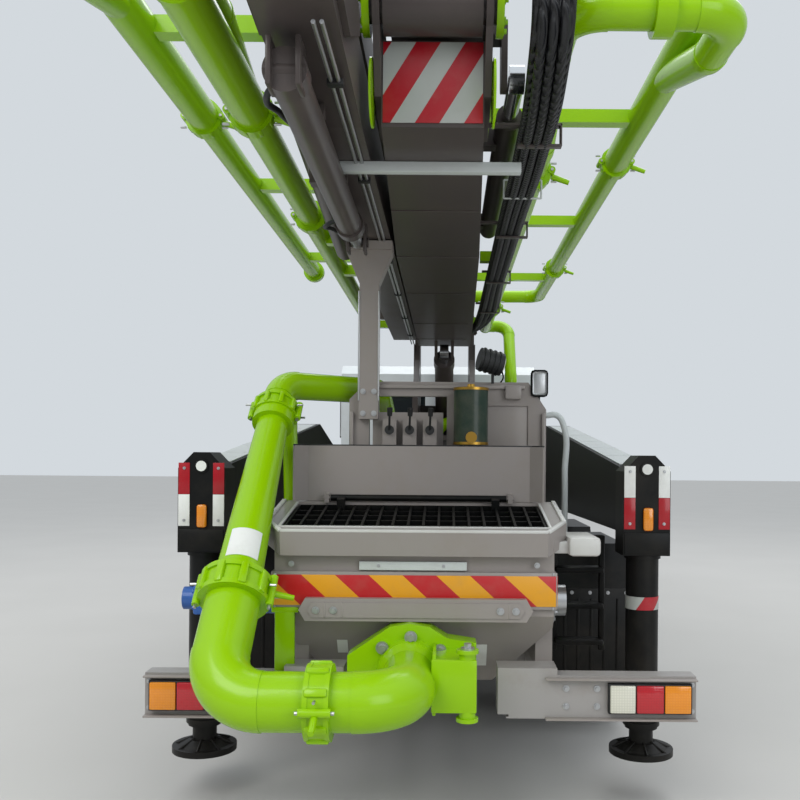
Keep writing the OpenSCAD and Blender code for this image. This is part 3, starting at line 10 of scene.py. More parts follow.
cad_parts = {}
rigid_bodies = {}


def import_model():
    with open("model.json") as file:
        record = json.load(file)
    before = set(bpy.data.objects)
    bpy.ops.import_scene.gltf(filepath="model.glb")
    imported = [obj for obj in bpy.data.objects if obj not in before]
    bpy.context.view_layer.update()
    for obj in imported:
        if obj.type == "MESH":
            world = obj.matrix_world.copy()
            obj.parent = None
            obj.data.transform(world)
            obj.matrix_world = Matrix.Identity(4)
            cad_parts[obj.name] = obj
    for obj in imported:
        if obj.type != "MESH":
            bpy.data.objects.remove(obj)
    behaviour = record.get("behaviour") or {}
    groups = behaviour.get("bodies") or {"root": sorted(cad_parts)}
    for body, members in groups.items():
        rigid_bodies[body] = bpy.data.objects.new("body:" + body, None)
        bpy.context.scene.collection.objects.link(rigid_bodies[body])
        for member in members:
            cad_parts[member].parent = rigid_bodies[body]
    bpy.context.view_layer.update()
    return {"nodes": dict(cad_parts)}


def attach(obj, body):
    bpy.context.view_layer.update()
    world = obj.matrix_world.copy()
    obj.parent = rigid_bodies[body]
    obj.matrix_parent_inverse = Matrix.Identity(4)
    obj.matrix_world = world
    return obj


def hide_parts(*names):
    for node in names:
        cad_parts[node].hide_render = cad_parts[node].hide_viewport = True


for spare in list(bpy.data.objects):
    bpy.data.objects.remove(spare)
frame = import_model()
cad = frame["nodes"]

# Camera: it stands behind the hopper a little right of the centre plane, as high as a person's
# eyes, looks level along the truck, and its picture is a crop from the upper right of its view.
camera = bpy.data.objects.new("camera", bpy.data.cameras.new("camera"))
camera.data.lens = 40.5
camera.data.sensor_width = 36
camera.data.shift_x = -0.0575
camera.data.shift_y = 0.07
camera.location = (0.107, -7.933, 1.7)
camera.rotation_euler = (math.radians(90), math.radians(-0.45), 0)
add_object = bpy.context.scene.collection.objects.link
add_object(camera)
bpy.context.scene.camera = camera


# Paint shop: every sheet and beam of the truck is sprayed steel, so the first things needed are
# the colour conversion, one node adder and the enamel, which shows orange peel and road dust.
def linear(code):
    parts = [int(code[i : i + 2], 16) / 255 for i in (1, 3, 5)]
    return [v / 12.92 if v <= 0.04045 else ((v + 0.055) / 1.055) ** 2.4 for v in parts] + [1]


def add_node(beside, kind, settings=None):
    # It joins the tree of what it is put beside: a tree, a node or a socket. A setting is its own
    # property, another node's socket, a colour's code or a number.
    tree = beside.id_data
    node = tree.nodes.new("ShaderNode" + kind)
    for name, value in (settings or {}).items():
        if isinstance(name, str) and hasattr(node, name):
            setattr(node, name, value)
        elif isinstance(value, bpy.types.NodeSocket):
            tree.links.new(value, node.inputs[name])
        else:
            node.inputs[name].default_value = linear(value) if isinstance(value, str) else value
    return node


def new_material(name, shader):
    material = bpy.data.materials.new(name)
    material.use_nodes = True
    material.node_tree.nodes.clear()
    surface = add_node(material.node_tree, "BsdfPrincipled", shader)
    add_node(surface, "OutputMaterial", {"Surface": surface.outputs[0]})
    return material, surface, add_node(surface, "TexCoord").outputs["Object"]


def connect(source, node, name="Base Color"):
    node.id_data.links.new(source, node.inputs[name])


def wear(surface, height, roughness=None, relief=None):
    # The same pattern sets the roughness, from low to high, and the bump's strength and depth.
    if roughness:
        limits = {"To Min": roughness[0], "To Max": roughness[1], "Value": height}
        connect(add_node(height, "MapRange", limits).outputs[0], surface, "Roughness")
    if relief:
        depth = {"Strength": relief[0], "Distance": relief[1], "Height": height}
        connect(add_node(height, "Bump", depth).outputs[0], surface, "Normal")


def grained(name, shader, scale, detail, roughness=None, relief=None, fineness=0.5):
    material, surface, place = new_material(name, shader)
    grain = {"Scale": scale, "Detail": detail, "Roughness": fineness, "Vector": place}
    wear(surface, add_node(place, "TexNoise", grain).outputs[0], roughness, relief)
    return material


def enamel(name, colour, roughness=0.38, dirt=0.35, dust="#8A7D6C", low_dust=0.35, coat=0.25):
    # Sprayed two-part enamel: a smooth coat with a 4 mm orange peel, patches of dry dust about
    # 300 mm across, and more dust low down, where the wheels throw it up.
    shine = {"Coat Weight": coat, "Coat Roughness": 0.15, "Specular IOR Level": 0.2}
    material, surface, place = new_material(name, shine)
    cloudy = {"Scale": 3.2, "Detail": 7, "Roughness": 0.68, "Vector": place}
    patches = add_node(place, "TexNoise", cloudy).outputs[0]
    height = add_node(place, "SeparateXYZ", {0: place}).outputs[2]
    fall = {"From Min": 1.3, "From Max": 0.2, "To Min": 0, "To Max": low_dust, "Value": height}
    near_road = add_node(place, "MapRange", fall).outputs[0]
    film = add_node(place, "Math", {"operation": "MULTIPLY", 0: near_road, 1: patches}).outputs[0]
    peaks = {"From Min": 0.48, "From Max": 0.78, "To Min": 0, "To Max": dirt, "Value": patches}
    spots = add_node(place, "MapRange", peaks).outputs[0]
    total = {"operation": "ADD", "use_clamp": True, 0: spots, 1: film}
    amount = add_node(place, "Math", total).outputs[0]
    dusty = {"data_type": "RGBA", 0: amount, 6: colour, 7: dust}
    connect(add_node(place, "Mix", dusty).outputs[2], surface)
    wear(surface, amount, (roughness, min(1, roughness + 0.45)))
    peel = {"Scale": 260, "Detail": 2, "Vector": place}
    wear(surface, add_node(place, "TexNoise", peel).outputs[0], relief=(0.12, 0.0004))
    return material


def paint(nodes, material):
    for node in nodes:
        mesh = cad[node].data
        mesh.materials.clear()
        mesh.materials.append(material)


# Chassis and bumper: folded steel channels. The rails are sprayed black and the tail members and
# the bumper grey, and dry mud lies in patches on both.
black_enamel = enamel("black_chassis_enamel", "#0B0C0C", 0.42, dirt=0.06, low_dust=0.06, coat=0.0)
grey_enamel = enamel("warm_grey_enamel", "#948D89", roughness=0.42, dirt=0.3, low_dust=0.25)
tail_y = -2.95
rails, surface, place = new_material("rail_enamel_black_with_grey_tail", {"Coat Weight": 0.2})
along = add_node(place, "SeparateXYZ", {0: place}).outputs[1]
in_tail = add_node(place, "Math", {"operation": "LESS_THAN", 0: along, 1: tail_y}).outputs[0]
coats = {"data_type": "RGBA", 0: in_tail, 6: "#1C1E1E", 7: "#9A9693"}
two_tone = add_node(place, "Mix", coats).outputs[2]
spatter = {"Scale": 4.5, "Detail": 7, "Roughness": 0.7, "Vector": place}
dusting = add_node(place, "TexNoise", spatter).outputs[0]
peaks = {"From Min": 0.42, "From Max": 0.8, "To Min": 0, "To Max": 0.45, "Value": dusting}
dust_amount = add_node(place, "MapRange", peaks).outputs[0]
dusty = {"data_type": "RGBA", 0: dust_amount, 6: two_tone, 7: "#7F7263"}
connect(add_node(place, "Mix", dusty).outputs[2], surface)
wear(surface, dust_amount, (0.4, 0.8))
wear(surface, dusting, relief=(0.1, 0.001))
paint(["chassis"], rails)
paint(["axles", "knuckle_left", "knuckle_right", "deck", "grate"], black_enamel)


# Shapes: fittings are built from rounded blocks, round rods, turned strips and hexagon bolts, then
# cleaned and given to the body that they ride on.
def to_piece(name, bm, material, body="truck", angle=32):
    bmesh.ops.remove_doubles(bm, verts=bm.verts, dist=0.00005)
    bmesh.ops.recalc_face_normals(bm, faces=bm.faces)
    mesh = bpy.data.meshes.new(name)
    bm.to_mesh(mesh)
    bm.free()
    mesh.shade_smooth()
    mesh.set_sharp_from_angle(angle=math.radians(angle))
    mesh.materials.append(material)
    piece = bpy.data.objects.new(name, mesh)
    add_object(piece)
    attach(piece, body)
    return piece


def cube(bm, centre, turn, size, round_off, segments=2):
    matrix = Matrix.Translation(centre) @ turn @ Matrix.Diagonal((*size, 1))
    made = bmesh.ops.create_cube(bm, size=1, matrix=matrix)
    if round_off:
        edges = list({edge for vert in made["verts"] for edge in vert.link_edges})
        bmesh.ops.bevel(
            bm, geom=edges, offset=round_off, segments=segments, affect="EDGES", profile=0.5, material=-1
        )


def block(bm, x, y, z, round_off=0.003):
    centre = Vector([(near + far) / 2 for near, far in (x, y, z)])
    cube(bm, centre, Matrix(), [abs(far - near) for near, far in (x, y, z)], round_off)


def rod(bm, start, end, d, sides=24, d_end=None):
    start, end = Vector(start), Vector(end)
    turn = Vector((0, 0, 1)).rotation_difference(end - start).to_matrix().to_4x4()
    bmesh.ops.create_cone(
        bm,
        cap_ends=True,
        segments=sides,
        radius1=d / 2,
        radius2=(d if d_end is None else d_end) / 2,
        depth=(end - start).length,
        matrix=Matrix.Translation((start + end) / 2) @ turn,
    )


def strip(bm, start, end, width, height, up_way=(0, -1, 0)):
    start, end = Vector(start), Vector(end)
    along = (end - start).normalized()
    side = along.cross(Vector(up_way)).normalized()
    turn = Matrix((side, along, side.cross(along))).transposed().to_4x4()
    size = (width, (end - start).length, height)
    cube(bm, (start + end) / 2, turn, size, min(width, height) * 0.3)


def bolts(bm, places, size, direction=(0, -1, 0)):
    direction = Vector(direction).normalized()
    for place in places:
        place = Vector(place)
        rod(bm, place, place + direction * size * 0.25, size * 1.9, 20)
        rod(bm, place, place + direction * size * 0.85, size * 1.15, 6)


def circle(radius, count, first=0.0):
    angles = [math.tau * (i + first) / count for i in range(count)]
    return [(radius * math.cos(a), radius * math.sin(a)) for a in angles]


def fit(name, material, body="truck", blocks=(), rods=(), strips=(), nuts=()):
    bm = bmesh.new()
    for maker, rows in ((block, blocks), (rod, rods), (strip, strips), (bolts, nuts)):
        for row in rows:
            maker(bm, *row)
    return to_piece(name, bm, material, body)


# Zinc-plated fasteners: cold-formed steel with a thin grey passivated coat, nearly white in light.
# The first ones hold the bumper.
zinc_look = {"Metallic": 1.0, "Base Color": "#B9BABB"}
zinc = grained("zinc_plated_steel", zinc_look, 90, 4, (0.28, 0.55), (0.1, 0.0005))
sides = ((-1, "left"), (1, "right"))
bumper_back = -3.85
bumper_nuts = []
for side, _ in sides:
    beam = [(side * x, bumper_back, z) for x in (0.66, 0.8) for z in (0.57, 0.65)]
    ends = [(side * 1.232, bumper_back, z) for z in (0.55, 0.67)]
    bumper_nuts += [(beam, 0.016), (ends, 0.012)]
fit("bumper_bolts", zinc, nuts=bumper_nuts)


# Rear lamps: clear and coloured moulded lenses in a black board, from the middle outwards white,
# red and amber. Inner prisms of 12 mm break the colour into small squares.
def lens(name, colour, light_colour):
    gloss = {"Roughness": 0.12, "IOR": 1.49, "Coat Weight": 0.6, "Coat Roughness": 0.05}
    material, surface, place = new_material(name, gloss)
    grid = {"distance": "CHEBYCHEV", "Scale": 1 / 0.012, "Randomness": 0.0, "Vector": place}
    prisms = add_node(place, "TexVoronoi", grid).outputs[0]
    glow = {"data_type": "RGBA", 0: prisms, 6: light_colour, 7: colour}
    connect(add_node(place, "Mix", glow).outputs[2], surface)
    wear(surface, prisms, relief=(0.35, 0.002))
    return material


amber_lens = lens("amber_polycarbonate_lens", "#C86808", "#F29A22")
red_lens = lens("red_polycarbonate_lens", "#8E0A18", "#C41E28")
white_lens = lens("clear_polycarbonate_lens", "#A9A797", "#E6E4D4")
# Moulded ABS with an etched grain: an even, dull black with no sharp highlights.
plastic_look = {"Base Color": "#1A1B1C", "Roughness": 0.6}
black_plastic = grained("grained_black_plastic", plastic_look, 700, 3, relief=(0.25, 0.0004))

lamp_low, lamp_top, lamp_face = 0.548, 0.672, -3.883
for side, hand in sides:
    depth, height = (lamp_face + 0.004, bumper_back - 0.001), (lamp_low - 0.006, lamp_top + 0.006)
    body_block = ((side * 0.848, side * 1.226), depth, height, 0.004)
    board = fit(f"lamp_board_{hand}", black_plastic, blocks=[body_block])
    for colour, moulded, near, far in (
        ("white", white_lens, 0.855, 0.969),
        ("red", red_lens, 0.974, 1.096),
        ("amber", amber_lens, 1.101, 1.219),
    ):
        depth = (lamp_face - 0.008, lamp_face + 0.012)
        glass = ((side * near, side * far), depth, (lamp_low, lamp_top), 0.006)
        fit(f"lamp_{colour}_{hand}", moulded, blocks=[glass])
    if hand == "left":
        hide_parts("lamps")


# Wheels: pressed steel discs sprayed silver grey, with dual tyres behind. The CAD's disc and hub
# are kept as a copy, and a new tyre with grooved shoulders and tread blocks is fitted round them.
# Vulcanised tyre rubber: soft, nearly black, and brown and dull wherever mud has dried.
tyre_rubber, surface, place = new_material("road_tyre_rubber", {"Specular IOR Level": 0.35})
mud = add_node(place, "TexNoise", {"Scale": 6, "Detail": 8, "Roughness": 0.7, "Vector": place}).outputs[0]
peaks = {"From Min": 0.45, "From Max": 0.75, "To Min": 0, "To Max": 0.5, "Value": mud}
mud_amount = add_node(place, "MapRange", peaks).outputs[0]
muddy = {"data_type": "RGBA", 0: mud_amount, 6: "#17181A", 7: "#6E6253"}
connect(add_node(place, "Mix", muddy).outputs[2], surface)
wear(surface, mud_amount, (0.62, 0.95))
wear(surface, mud, relief=(0.2, 0.002))
# Silver enamel on pressed steel: pale, and brown with brake dust and mud low down.
rim_enamel = enamel("silver_wheel_enamel", "#9EA2A4", roughness=0.35, dirt=0.5, low_dust=0.7)

rim_radius, axle_height, tread_pitches = 0.295, 0.54, 54
# Half of a tyre's section, from the bead to the middle of the tread: out from the axle, sideways.
tyre_section = [
    (0.2955, 0.11), (0.312, 0.124), (0.345, 0.136), (0.4, 0.1465), (0.44, 0.1475),
    (0.48, 0.143), (0.505, 0.137), (0.521, 0.126), (0.525, 0.105), (0.525, 0.062),
    (0.518, 0.058), (0.518, 0.048), (0.525, 0.044), (0.525, 0.01), (0.518, 0.006),
]
# Tread blocks in one pitch: middle and width across the tyre, and the shift round it.
tread_blocks = ((-0.1, 0.042, 0.3), (-0.034, 0.04, 0), (0.034, 0.04, 0.5), (0.1, 0.042, 0.8))
twins = (0.767, 1.102)
for axle, y, middles in (("front", 4.35, (1.03,)), ("mid", -0.45, twins), ("rear", -1.8, twins)):
    for side, hand in sides:
        node = f"wheel_{axle}_{hand}"
        bm = bmesh.new()
        for x in (side * middle for middle in middles):
            both = tyre_section + [(r, -s) for r, s in reversed(tyre_section)]
            verts = [bm.verts.new((x + s, y, axle_height + r)) for r, s in both]
            section = verts + [bm.edges.new(pair) for pair in zip(verts, verts[1:] + verts[:1])]
            centre = (x, y, axle_height)
            bmesh.ops.spin(
                bm, geom=section, cent=centre, axis=(1, 0, 0), angle=math.tau, steps=108, use_merge=True
            )
            for i in range(tread_pitches):
                for offset, width, shift in tread_blocks:
                    turn = Matrix.Rotation(math.tau * (i + shift) / tread_pitches, 4, "X")
                    seat = turn @ Matrix.Translation((offset, 0, 0.5312))
                    cube(bm, centre, seat, (width, 0.047, 0.0165), 0)
        tyre = to_piece(f"{node}_tyres", bm, tyre_rubber, node, angle=28)
        bm = bmesh.new()
        bm.from_mesh(cad[node].data)
        bmesh.ops.remove_doubles(bm, verts=bm.verts, dist=0.00005)
        outside = []
        for face in bm.faces:
            reach = max(math.hypot(v.co.y - y, v.co.z - axle_height) for v in face.verts)
            if reach > rim_radius + 0.004:
                outside.append(face)
        bmesh.ops.delete(bm, geom=outside, context="FACES")
        nut_x = side * (1.0975 if axle == "front" else 0.9525)
        nuts = [(nut_x, y + dy, axle_height + dz) for dy, dz in circle(0.14, 10, 0.5)]
        bolts(bm, nuts, 0.03, (side, 0, 0))
        to_piece(f"{node}_disc", bm, rim_enamel, node)
        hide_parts(node)


# Cab: pressed and spot-welded steel in off-white enamel. Bonded tinted glass fills the cut windows;
# lamps, grille bars, wipers and handles are moulded plastic.
# Baked enamel with a clear coat: a bright, glossy off-white with hardly any dust.
cab_enamel = enamel("off_white_cab_enamel", "#D5DADB", 0.3, dirt=0.15, low_dust=0.2, coat=0.6)
paint(["cab_shell", "door_left", "door_right"], cab_enamel)
paint(["cab_trim"], black_plastic)
# Float glass, tinted in the melt: nearly black from outside, with a faint smear of dust.
glass_look = {"Base Color": "#161D1F", "Transmission Weight": 0.12, "Specular IOR Level": 0.3}
tinted_glass = grained("tinted_window_glass", glass_look, 5, 5, (0.02, 0.12))
# Extruded hose rubber: a satin black with the fine weave of the cloth it was cured in.
rubber_look = {"Base Color": "#15161A", "Specular IOR Level": 0.4}
hose_rubber = grained("black_hose_rubber", rubber_look, 120, 4, (0.42, 0.62), (0.25, 0.0006))


def pane(name, corners, thickness, body="truck"):
    bm = bmesh.new()
    outer = bm.faces.new([bm.verts.new(corner) for corner in corners])
    bmesh.ops.solidify(bm, geom=[outer], thickness=thickness)
    to_piece(name, bm, tinted_glass, body)


sill, roof, cab_rear, cab_half = 1.86, 2.84, 3.43, 1.22
glass_low, glass_top, glass_half = 1.795, 2.595, 1.105
front_low, front_high = 5.637, 5.52
for part, low_y, low_z, top_y, top_z in (
    ("windscreen_foot", front_low, glass_low, front_low, sill),
    ("windscreen", front_low, sill, front_high, glass_top),
):
    ends = ((-glass_half, low_y, low_z), (glass_half, low_y, low_z))
    pane(part, [*ends, (glass_half, top_y, top_z), (-glass_half, top_y, top_z)], 0.006)
# The door window's opening, and how far its glass reaches under the frame.
open_y0, open_y1, open_top, lap = 4.21, 5.17, 2.56, 0.004
for side, hand in sides:
    x = side * (cab_half - 0.02)
    door_glass = [
        (x, open_y0 - lap, sill - lap),
        (x, open_y1 + lap, sill - lap),
        (x, open_y1 + lap, sill + 0.15),
        (x, open_y1 - 0.108, open_top + lap),
        (x, open_y0 + 0.03 - lap, open_top + lap),
    ]
    pane(f"door_glass_{hand}", door_glass, 0.005, f"door_{hand}")
    face = side * (cab_half - 0.001)
    grip = ((face, side * (cab_half + 0.022)), (4.16, 4.34), (1.72, 1.76), 0.008)
    back_plate = ((face, side * (cab_half + 0.006)), (4.14, 4.36), (1.69, 1.79), 0.003)
    handle = [grip, back_plate]
    fit(f"door_handle_{hand}", black_plastic, f"door_{hand}", handle)
    near, far, y = side * 0.42 - 0.258, side * 0.42 + 0.258, cab_rear + 0.02
    low_z, top_z = sill + 0.062, roof - 0.282
    rear_glass = [(near, y, low_z), (far, y, low_z), (far, y, top_z), (near, y, top_z)]
    pane(f"rear_window_{hand}", rear_glass, 0.005)
    lamp_x, mirror_x = (side * 0.82, side * 1.08), (side * 1.302, side * 1.468)
    for name, material, slot, row in (
        ("headlamp", white_lens, "lamp", (lamp_x, (5.64, 5.7), (0.85, 1.0), 0.02)),
        ("front_flasher", amber_lens, "lamp", (lamp_x, (5.64, 5.69), (0.77, 0.83), 0.012)),
        ("mirror_glass", zinc, "steel", (mirror_x, (5.412, 5.418), (1.98, 2.58), 0.02)),
    ):
        fit(f"{name}_{hand}", material, blocks=[row])

bars = [((-0.78, 0.78), (5.648, 5.668), (0.8 + 0.08 * k, 0.835 + 0.08 * k), 0.008) for k in range(5)]
wipers = []
for x in (-0.35, 0.35):
    bars.append(((x, x + 0.62), (5.648, 5.656), (1.852, 1.862), 0.002))
    wipers.append(((x, 5.655, 1.8), (x + 0.55, 5.665, 1.86), 0.016))
fit("grille_bars_and_wipers", black_plastic, blocks=bars, rods=wipers)

# Woven seat cover: dark grey threads that catch the light in fine rows.
seat_cloth, surface, place = new_material("woven_seat_cover", {"Sheen Weight": 0.4, "Roughness": 0.85})
cloth = {"Scale": 110, "Distortion": 1.5, "Detail": 2, "Vector": place}
weave = add_node(place, "TexWave", cloth).outputs[0]
threads = {"data_type": "RGBA", 0: weave, 6: "#23262C", 7: "#3A3F48"}
connect(add_node(place, "Mix", threads).outputs[2], surface)
wear(surface, weave, relief=(0.4, 0.001))
paint(["cab_seats"], seat_cloth)


# Tanks and deck: brushed aluminium fuel and water tanks with strap bands, and a deck of steel tread
# plate whose raised bars, 30 mm apart, stand at right angles to each other.
# Brushed aluminium: bright grey, with its highlights drawn out along the tank.
aluminium_look = {"Metallic": 1.0, "Base Color": "#B4B7B8"}
aluminium, surface, place = new_material("brushed_aluminium", aluminium_look)
stretched = add_node(place, "Mapping", {"Scale": (260, 6, 260), "Vector": place}).outputs[0]
brushing = add_node(place, "TexNoise", {"Scale": 1, "Detail": 4, "Vector": stretched}).outputs[0]
wear(surface, brushing, (0.3, 0.55), (0.08, 0.0004))
paint(["tanks"], aluminium)

# Galvanised tread plate: a mottled grey sheen broken up by the raised bars.
tread_look = {"Metallic": 0.85, "Base Color": "#A9ACAC"}
tread_plate, surface, place = new_material("galvanised_tread_plate", tread_look)
pattern = {"Scale": 33, "Mortar Size": 0.06, "Vector": place}
raised = add_node(place, "TexBrick", pattern).outputs[1]
soiling = add_node(place, "TexNoise", {"Scale": 7, "Detail": 6, "Vector": place}).outputs[0]
wear(surface, soiling, (0.35, 0.75))
wear(surface, raised, relief=(0.5, 0.003))
plates = []
for side, _ in sides:
    for k in range(4):
        y = -2.84 + 1.0025 * k
        plates.append(((side * 0.385, side * 0.79), (y, y + 0.995), (1.2602, 1.2635), 0.001))
fit("deck_tread_plates", tread_plate, blocks=plates)
straps = [((-1.155, -0.475), (y, y + 0.05), (0.474, 1.086), 0.004) for y in (1.85, 2.65)]
straps += [((0.635, 1.155), (y, y + 0.05), (0.494, 1.106), 0.004) for y in (2.35, 2.85)]
caps = [((-1.0, 2.25, 1.08), (-1.0, 2.25, 1.13), 0.11), ((1.0, 2.6, 1.1), (1.0, 2.6, 1.15), 0.11)]
fit("tank_straps_and_caps", zinc, blocks=straps, rods=caps)
# Painted cast iron: a rough, dusty grey without shine.
paint(["engine"], enamel("grey_cast_iron", "#55585A", roughness=0.6, dirt=0.5, coat=0.0))


# Pedestal and turret: welded plate in the boom's grey enamel, with a slewing bearing held by a
# ring of high-strength bolts. Ribs stiffen the cheeks, and tread plates cover the turntable.
# Both enamels are kept cleaner than the chassis: the boom's warm grey is dull, the pipes' lime
# green glossy.
boom_enamel = enamel("boom_grey_enamel", "#4C4543", 0.36, dirt=0.12, low_dust=0.1, coat=0.1)
lime_enamel = enamel("lime_green_enamel", "#90C200", 0.24, dirt=0.03, low_dust=0.04, coat=0.25)
paint(["pedestal", "turret", "luff_barrel", "boom_1", "boom_2", "boom_3", "boom_4"], boom_enamel)
paint(["turret_pipe", "pipe_1", "pipe_2", "pipe_3", "pipe_4", "outlet", "riser"], lime_enamel)

slew_y, ring_radius = 2.35, 0.59
ring_nuts = [
    ((x, slew_y + y, 1.74), (x, slew_y + y, 1.783), 0.03, 6) for x, y in circle(ring_radius + 0.022, 36)
]
washer = ((0, slew_y, 1.73), (0, slew_y, 1.746), 2 * (ring_radius + 0.045), 72)
fit("slewing_ring_bolts", zinc, rods=ring_nuts + [washer])

hinge_y, hinge_z = 2.8, 3.25
blocks, rods, nuts = [], [], []
for x, way in ((-0.265, -1), (0.425, 1)):
    cover, rib = x + way * 0.026, (x, x + way * 0.012)
    rods.append(((x, hinge_y, hinge_z), (cover, hinge_y, hinge_z), 0.22))
    ring = [(cover, hinge_y + dy, hinge_z + dz) for dy, dz in circle(0.085, 8)]
    nuts.append((ring, 0.018, (way, 0, 0)))
    blocks += [(rib, (2.05, 2.95), (2.35, 2.39), 0.003), (rib, (2.55, 2.59), (2.0, 3.0), 0.003)]
fit("turret_ribs_and_pin_covers", boom_enamel, "turret", blocks, rods, nuts=nuts)
steps = [((x - 0.05, x + 0.05), (1.75, 2.85), (1.921, 1.926), 0.001) for x in (-0.45, 0.45)]
fit("turret_step_plates", tread_plate, "turret", steps)


# Boom: box sections in grey enamel. Section 1 ends in a plate with diagonal red and white warning
# stripes, 75 mm wide, and lime knuckle covers; a pale bar crosses under it.
def stripes(name, first, second, width, slope):
    # Retro-reflective vinyl with glass beads: flat colour, a fine hexagon grain, a little soil.
    material, surface, place = new_material(name, {"Coat Weight": 0.12, "Coat Roughness": 0.3})
    axes = add_node(place, "SeparateXYZ", {0: place}).outputs
    tilted = add_node(place, "Math", {"operation": "MULTIPLY", 0: axes[2], 1: slope}).outputs[0]
    run = add_node(place, "Math", {"operation": "ADD", 0: axes[0], 1: tilted}).outputs[0]
    pitch = width * math.sqrt(1 + slope**2)
    pair = add_node(place, "Math", {"operation": "PINGPONG", 0: run, 1: pitch}).outputs[0]
    band = add_node(place, "Math", {"operation": "GREATER_THAN", 0: pair, 1: pitch / 2}).outputs[0]
    pattern = add_node(place, "Mix", {"data_type": "RGBA", 0: band, 6: first, 7: second}).outputs[2]
    grime = add_node(place, "TexNoise", {"Scale": 14, "Detail": 6, "Vector": place}).outputs[0]
    peaks = {"From Min": 0.5, "From Max": 0.8, "To Min": 0, "To Max": 0.15, "Value": grime}
    soil = add_node(place, "MapRange", peaks).outputs[0]
    soiled = {"data_type": "RGBA", 0: soil, 6: pattern, 7: "#857A6B"}
    connect(add_node(place, "Mix", soiled).outputs[2], surface)
    beads = add_node(place, "TexVoronoi", {"Scale": 240, "Vector": place}).outputs[0]
    wear(surface, beads, (0.3, 0.55), (0.1, 0.0004))
    return material


red_white = stripes("red_white_reflective_vinyl", "#A80A1C", "#A9ADA8", 0.075, -0.62)
red_amber = stripes("red_amber_reflective_vinyl", "#B80C14", "#DE9A00", 0.105, 1.09)

boom_x, knuckle_y, knuckle_z = 0.05, -4.75, 3.28
end_plate = ((boom_x - 0.18, boom_x + 0.18), (-4.704, -4.7005), (2.895, 3.185), 0.001)
fit("boom_end_stripes", red_white, "boom_1", [end_plate])
blocks, rods, nuts = [], [], []
for way in (-1, 1):
    x = boom_x + way * 0.21
    outer, cover = x + way * 0.012, x + way * 0.038
    rods.append(((outer, knuckle_y, knuckle_z), (cover, knuckle_y, knuckle_z), 0.19, 32))
    rods.append(((outer, -4.705, 3.0), (outer - way * 0.008, -4.705, 3.0), 0.24, 40))
    blocks.append(((x, x + way * 0.01), (-4.7, -4.2), (3.02, 3.12), 0.002))
    ring = [(cover, knuckle_y + dy, knuckle_z + dz) for dy, dz in circle(0.07, 6)]
    nuts.append((ring, 0.016, (way, 0, 0)))
fit("knuckle_1_covers", lime_enamel, "boom_1", blocks, rods, nuts=nuts)
# Light grey enamel: nearly white beside the boom, with a little dust.
light_steel = enamel("light_grey_enamel", "#C8CDCC", roughness=0.4, dirt=0.2)
cross_bar = ((-0.34, 0.4), (-4.33, -4.285), (2.838, 2.879), 0.003)
fit("boom_1_cross_bar", light_steel, "boom_1", [cross_bar])
# Weld beads show where the box section is joined from plates; the box widens from its end.
seams = []
for y in (-3.6, -2.6, -1.4, 0.1, 1.15):
    half = 0.185 + 0.06 * min(1, (y + 4.7) / 2.1)
    seams.append(((boom_x - half, boom_x + half), (y - 0.006, y + 0.006), (2.8765, 2.8805), 0.001))
fit("boom_1_weld_seams", boom_enamel, "boom_1", seams)


# Hydraulic lines: a thick bundle of hoses in spiral guards runs along section 1 in folded brackets
# and loops over its end, held in one place by a white tie.
def hose(name, points, d, material=hose_rubber, body="truck"):
    curve = bpy.data.curves.new(name, "CURVE")
    curve.dimensions = "3D"
    curve.bevel_depth = d / 2
    curve.bevel_resolution = 4
    curve.resolution_u = 10
    curve.use_fill_caps = True
    line = curve.splines.new("BEZIER")
    line.bezier_points.add(len(points) - 1)
    for knot, point in zip(line.bezier_points, points):
        knot.co = point
        knot.handle_left_type = knot.handle_right_type = "AUTO"
    holder = bpy.data.objects.new(name + "_curve", curve)
    add_object(holder)
    bpy.context.view_layer.update()
    mesh = bpy.data.meshes.new_from_object(holder.evaluated_get(bpy.context.evaluated_depsgraph_get()))
    bpy.data.objects.remove(holder)
    bm = bmesh.new()
    bm.from_mesh(mesh)
    to_piece(name, bm, material, body, angle=60)


# Spiral hose guard, wound of plastic tape: every coil has a thin bright edge.
guard, surface, place = new_material("spiral_guarded_hose", {"Base Color": "#111216"})
spiral = {"bands_direction": "DIAGONAL", "Scale": 22, "Distortion": 0.4, "Vector": place}
wear(surface, add_node(place, "TexWave", spiral).outputs[0], (0.34, 0.6), (0.9, 0.006))
for i in range(7):
    layer, row = divmod(i, 4)
    x, z = 0.392 + 0.036 * row + 0.018 * layer, 2.955 - 0.033 * layer
    run = [(0.36, 1.0, z + 0.01), (x - 0.01, 0.3, z), (x, -1.6, z), (x, -3.3, z), (x, -4.3, z - 0.01)]
    loop = [(x - 0.004, -4.85, z + 0.04), (x - 0.008, -5.1, z + 0.22), (x - 0.012, -4.98, z + 0.4)]
    end = (x - 0.016, -4.72, 3.405 + 0.012 * layer)
    hose(f"boom_hose_{i + 1}", [*run, *loop, end], 0.034, guard, "boom_1")
brackets = [((0.26, 0.53), (-4.74, -4.7), (3.37, 3.44), 0.004)]
for y in (-4.45, -3.0, -1.7, -0.4):
    span = (y - 0.02, y + 0.02)
    brackets.append(((0.23 if y < -2.5 else 0.345, 0.545), span, (2.975, 2.985), 0.002))
    brackets.append(((0.372, 0.545), span, (2.897, 2.905), 0.002))
    brackets.append(((0.538, 0.545), span, (2.9, 2.985), 0.002))
fit("boom_hose_brackets", boom_enamel, "boom_1", brackets)
wires = [((x, -3.75, 2.9), (x, -3.75, 2.985), 0.009, 8) for x in (0.366, 0.54)]
wires += [((0.366, -3.75, z), (0.54, -3.75, z), 0.009, 8) for z in (2.9, 2.985)]
fit("boom_hose_tie", light_steel, "boom_1", rods=wires)


